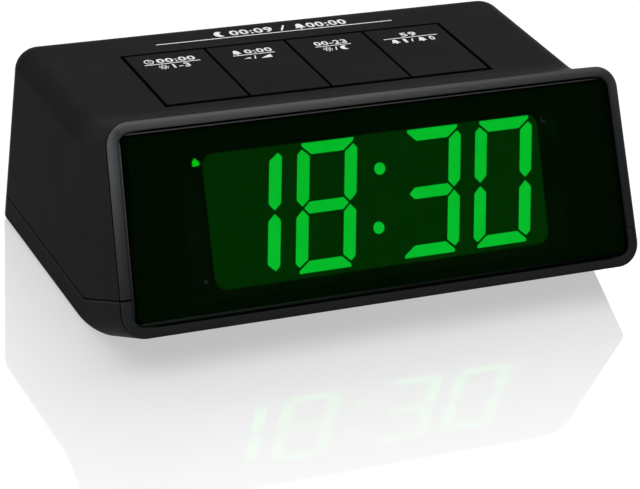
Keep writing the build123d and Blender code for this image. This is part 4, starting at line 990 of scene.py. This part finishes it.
@dataclass
class KeyRow:
    """Four keys with their printed legends, and the board and switches under them."""

    rule_at_mm: float = 21.84
    rule_breadth_mm: float = 0.33
    high: float = 23.62  # middles of the upper and the lower row, in millimetres
    low: float = 20.0
    tall: float = 2.4
    slash_reach_mm: Point = (0.3, 0.9)
    slash_breadth_mm: float = 0.35

    def build(self) -> None:
        """Dress the keys and what they press, and print the legends."""
        names = ("time", "alarm", "hour", "minute")
        dress(KEY_BLACK, *(f"key_{name}" for name in names))
        dress(STEM_CREAM, *(f"switch_stem_{name}" for name in names))
        dress(SWITCH_BLACK, "switch_bodies")
        dress(BOARD_GREEN, "key_board")
        dress(PLATED_STEEL, "key_board_screws")
        dress(RIBBON_GREY, "key_ribbon")
        prints: tuple[Callable[[Stencil], None], ...] = (
            self.time_legend, self.alarm_legend, self.hour_legend, self.minute_legend)
        for name, legend in zip(names, prints):
            stencil = Stencil()
            legend(stencil)
            stencil.make(f"{name}_key_print", level_plane(TOP_MM), f"{name}_key", PRINT_WHITE)

    def rule(self, stencil: Stencil, start: float, end: float) -> None:
        """Add the rule between the two rows of a legend."""
        stencil.bar((start, self.rule_at_mm), (end, self.rule_at_mm), self.rule_breadth_mm)

    def slash(self, stencil: Stencil, across: float) -> None:
        """Add the slash between two signs of the lower row."""
        lean, rise = self.slash_reach_mm
        stencil.bar((across - lean, self.low - rise), (across + lean, self.low + rise), self.slash_breadth_mm)

    def time_legend(self, stencil: Stencil) -> None:
        """Dial and zeros over a sun and its first and last step."""
        self.rule(stencil, -41.0, -26.0)
        stencil.dial((-39.2, self.high), 0.54 * self.tall)
        stencil.figures("00:00", (-32.0, self.high), self.tall, 10.4)
        stencil.sun((-36.6, self.low), 0.56 * self.tall)
        stencil.figures("1-3", (-31.8, self.low), self.tall, 4.6)

    def alarm_legend(self, stencil: Stencil) -> None:
        """Bell and zeros over a small and a large loudness wedge."""
        self.rule(stencil, -17.0, -5.5)
        stencil.bell((-15.4, self.high), 1.12 * self.tall)
        stencil.figures("0:00", (-9.4, self.high), self.tall, 7.6)
        stencil.shape([(-15.0, self.low - 0.5), (-13.0, self.low - 0.5), (-13.0, self.low + 0.3)])
        self.slash(stencil, -11.7)
        stencil.shape([(-10.4, self.low - 0.9), (-7.2, self.low - 0.9), (-7.2, self.low + 0.9)])

    def hour_legend(self, stencil: Stencil) -> None:
        """First and last hour over a sun and a moon."""
        self.rule(stencil, 6.0, 16.0)
        stencil.figures("00-23", (11.0, self.high), self.tall, 9.2)
        stencil.sun((8.7, self.low), 0.56 * self.tall)
        self.slash(stencil, 11.0)
        stencil.moon((13.4, self.low), 0.5 * self.tall)

    def minute_legend(self, stencil: Stencil) -> None:
        """Last minute over a ringing and a silent bell."""
        self.rule(stencil, 25.5, 41.0)
        stencil.figures("59", (33.4, self.high), self.tall, 4.6)
        stencil.bell((28.0, self.low), 1.1 * self.tall)
        stencil.figures("1", (30.9, self.low), self.tall, 0.9)
        self.slash(stencil, 32.9)
        stencil.bell((35.7, self.low), 1.1 * self.tall)
        stencil.figures("0", (38.6, self.low), self.tall, 1.5)


@dataclass
class Display:
    """Lens, mask, filter and the module of lit and dark segments behind them."""

    edge_inset_mm: float = 2.82
    edge_round_mm: float = 0.9
    band_mm: float = 0.02
    band_ends_mm: Point = (0.2, 0.05)
    band_steps: int = 8
    corner_steps: int = 14
    recess_mm: float = 0.3
    mask_mm: float = 1.87
    dot_at_mm: Point = (-47.6, 11.15)
    dot_radius_mm: float = 0.62
    moon_at_mm: Point = (47.2, 39.27)
    moon_radius_mm: float = 1.02
    print_mm: Point = (0.005, 0.03)

    def build(self) -> None:
        """Dress every layer from the lens to the board."""
        dress(LENS_CLEAR, "display_lens")
        dress(FOAM_BLACK, "lens_tape")
        dress(MASK_BLACK, "mask_film")
        dress(FILTER_GREEN, "filter_film")
        dress(MODULE_BLACK, "display_housing")
        dress(SEGMENT_GREEN, "lit_segments", "colon_dots")
        dress(MARK_GREEN, "alarm_mark")
        dress(SEGMENT_DARK, "unlit_segments")
        dress(MARK_DARK, "idle_marks")
        dress(DIE_YELLOW, "led_dice")
        dress(PLATED_STEEL, "display_pins", "display_screws")
        dress(BOARD_GREEN, "display_board")
        dress(CHIP_BLACK, "driver_chips")
        dress(RIBBON_GREY, "display_ribbon")
        self.edge()
        self.idle_prints()

    def edge(self) -> None:
        """Cover the lens's rounded edge with a band that carries its painted highlight and painted
        reflection.
        """
        inset, deep = self.edge_inset_mm + self.edge_round_mm, self.recess_mm + self.edge_round_mm
        reach, foot_mm, lap_mm = self.edge_round_mm + self.band_mm, *self.band_ends_mm
        profile = [(self.edge_inset_mm - self.band_mm, deep + foot_mm)]
        for step in range(self.band_steps + 1):
            turn = pi / 2 * step / self.band_steps
            profile.append((inset - reach * cos(turn), deep - reach * sin(turn)))
        profile.append((inset + lap_mm, self.recess_mm + self.band_mm))
        mesh = bmesh.new()
        rounds = [[mesh.verts.new(FACE.matrix(-down) @ Vector((*point, 0.0)))
                   for point in FACE.outline(drawn_in, self.corner_steps)] for drawn_in, down in profile]
        count = len(rounds[0])
        for outer, inner in zip(rounds, rounds[1:] + rounds[:1]):
            for index in range(count):
                after = (index + 1) % count
                mesh.faces.new((outer[index], outer[after], inner[after], inner[index])).smooth = True
        bmesh.ops.recalc_face_normals(mesh, faces=mesh.faces[:])
        place_piece("lens_edge_band", mesh, "housing", LENS_EDGE_PAINTED_LIGHT)

    def idle_prints(self) -> None:
        """Fill the two unlit signs with faint grey."""
        dot, moon = Stencil(*self.print_mm), Stencil(*self.print_mm)
        dot.disc(self.dot_at_mm, self.dot_radius_mm)
        moon.moon(self.moon_at_mm, self.moon_radius_mm)
        for name, stencil in (("dot", dot), ("moon", moon)):
            stencil.make(f"idle_{name}_print", FACE.matrix(-self.mask_mm), "housing", MARK_GREY)


@dataclass
class Works:
    """Main board, power inlet, buzzer and back-up cells."""

    def build(self) -> None:
        """Dress the boards and what stands on them."""
        dress(BOARD_GREEN, "main_board")
        dress(CHIP_BLACK, "clock_chip", "diodes", "regulator")
        dress(PLATED_STEEL, "crystal", "board_screws")
        dress(CAN_SLEEVE, "capacitors")
        dress(RESISTOR_BLACK, "resistors")
        dress(STEM_CREAM, "headers")
        dress(SWITCH_BLACK, "power_jack")
        dress(PIN_BRASS, "jack_pin")
        dress(SPRING_STEEL, "jack_spring", "battery_contact_plus", "battery_contact_minus", "battery_link")
        dress(BUZZER_BLACK, "buzzer")
        dress(WIRE_RED, "buzzer_leads", "battery_leads")
        dress(CELL_WRAP, "backup_cells")
        dress(CASE_BLACK, "battery_door")


@dataclass(frozen=True)
class SoftBox:
    """A square studio lamp."""

    name: str
    place: Place
    aim: Place
    length: float
    breadth: float
    watts: float

    def hang(self) -> None:
        """Put the lamp in the scene, facing its aim."""
        lamp = bpy.data.lights.new(self.name, "AREA")
        lamp.shape = "RECTANGLE"
        lamp.size, lamp.size_y = self.length, self.breadth
        lamp.energy = self.watts
        holder = stand(self.name, lamp)
        holder.location = self.place
        facing = (Vector(self.aim) - Vector(self.place)).to_track_quat("-Z", "Y")
        holder.rotation_euler = facing.to_euler()
        log.info("lamp %s", self.name)


@dataclass
class Studio:
    """Floor, lamps, surrounding light and camera."""

    floor_radius: float = 4.0
    floor_shade: float = 0.93
    floor_share: float = 0.70
    floor_swing: float = 1.01
    floor_patch_mm: float = 400.0
    floor_gloss: float = 0.27
    gloss_rough: float = 0.04
    polish_end_mm: float = 110.0
    polish_fall: float = 1.25
    foot_half: Point = (0.070, 0.040)
    wall: float = 0.6
    wall_rise: Point = (0.08, 0.30)  # height over the horizon where the wall starts and ends to fade
    around: float = 0.12
    camera_at: Place = (-0.28656064, -0.55310056, 0.32696953)
    camera_right: Place = (0.90332609, -0.42054947, 0.08449923)
    camera_up: Place = (0.12778098, 0.45186415, 0.88288777)
    camera_back: Place = (-0.40948016, -0.78673816, 0.4619189)
    focal_mm: float = 154.215
    sensor_mm: float = 36.0

    def build(self) -> None:
        """Lay the floor, hang the lamps and set up the camera."""
        self.floor()
        self.surroundings()
        SoftBox("overhead_box", (-0.12, 0.06, 0.85), (0.0, 0.0, 0.0), 1.7, 1.4, 17.0).hang()
        SoftBox("rear_box", (0.30, 0.85, 0.80), (0.0, 0.02, 0.02), 0.8, 0.6, 2.0).hang()
        self.camera()

    def floor(self) -> None:
        """Lay a round pale floor that keeps the clock's shadow and a faint reflection."""
        mesh = bmesh.new()
        bmesh.ops.create_circle(mesh, cap_ends=True, segments=96, radius=self.floor_radius)
        data = bpy.data.meshes.new("studio_floor")
        mesh.to_mesh(data)
        mesh.free()
        data.materials.append(self.floor_material())
        piece = stand("studio_floor", data)

    def floor_material(self) -> bpy.types.Material:
        """Pale card, lifted towards white where it is seen straight, in gloss or through glass.

        Returns:
            The material.
        """
        bench = Bench(bpy.data.materials.new("pale_floor"))
        pale, paler = ((tone,) * 3 for tone in (self.floor_shade, self.floor_shade * self.floor_swing))
        card = bench.node("BsdfPrincipled", {
            "Roughness": 0.9, "Specular IOR Level": 0.0,
            "Base Color": bench.tints(bench.noise(self.floor_patch_mm), pale, paler)})
        white = bench.node("Emission", {"Color": WHITE, "Strength": 1.0})
        straight, seen = bench.seen()
        lifted = bench.blend(bench.times(seen, self.floor_share),
                             card.outputs["BSDF"], white.outputs["Emission"])
        gloss = bench.node("BsdfAnisotropic", {"Color": WHITE, "Roughness": self.gloss_rough})
        mirrored = bench.times(self.polish(bench), straight)
        return bench.close(bench.blend(mirrored, lifted, gloss.outputs["BSDF"]))

    def polish(self, bench: Bench) -> Socket:
        """How much the floor mirrors: most beside the clock, and less away from it.

        Args:
            bench: Tree to add it to.

        Returns:
            The mirrored share.
        """
        squares = []
        for way, half in zip((ACROSS, BACK), self.foot_half):
            gap = bench.sum("MAXIMUM", bench.sum("SUBTRACT", bench.apart(way), half), 0.0)
            squares.append(bench.times(gap, gap))
        near = bench.step(bench.sum("SQRT", bench.sum("ADD", *squares)), self.polish_end_mm, 0.0)
        return bench.times(bench.sum("POWER", near, self.polish_fall), self.floor_gloss)

    def surroundings(self) -> None:
        """Light from all round: a pale wall up to a few degrees, and a dimmer room over it.

        Where it is seen straight, in gloss or through glass it is plain white.
        """
        bench = Bench(bpy.data.worlds.new("studio_room"))
        height = bench.node("SeparateXYZ", {"Vector": bench.coordinates["Generated"]}).outputs["Z"]
        room = bench.tints(height, (self.wall,) * 3, (self.around,) * 3, self.wall_rise)
        shade = bench.painted(room, WHITE, bench.seen()[1])
        light = bench.node("Background", {"Color": shade, "Strength": 1.0})
        bpy.context.scene.world = bench.close(light.outputs["Background"])

    def camera(self) -> None:
        """Stand the camera where the photograph was taken."""
        data = bpy.data.cameras.new("studio_camera")
        data.lens, data.sensor_width = self.focal_mm, self.sensor_mm
        data.clip_start, data.clip_end = 0.01, 50.0
        holder = stand("studio_camera", data)
        turn = Matrix((self.camera_right, self.camera_up, self.camera_back)).transposed().to_4x4()
        holder.matrix_world = Matrix.Translation(self.camera_at) @ turn
        bpy.context.scene.camera = holder


def main() -> None:
    """Build every part of the scene in order."""
    logging.basicConfig(level=logging.INFO, format="%(message)s", force=True)
    for part in (Housing(), KeyRow(), Display(), Works(), Studio()):
        part.build()
        log.info("built %s", type(part).__name__)
    bpy.context.scene.view_settings.view_transform = "Standard"


if __name__ == "__main__":
    main()
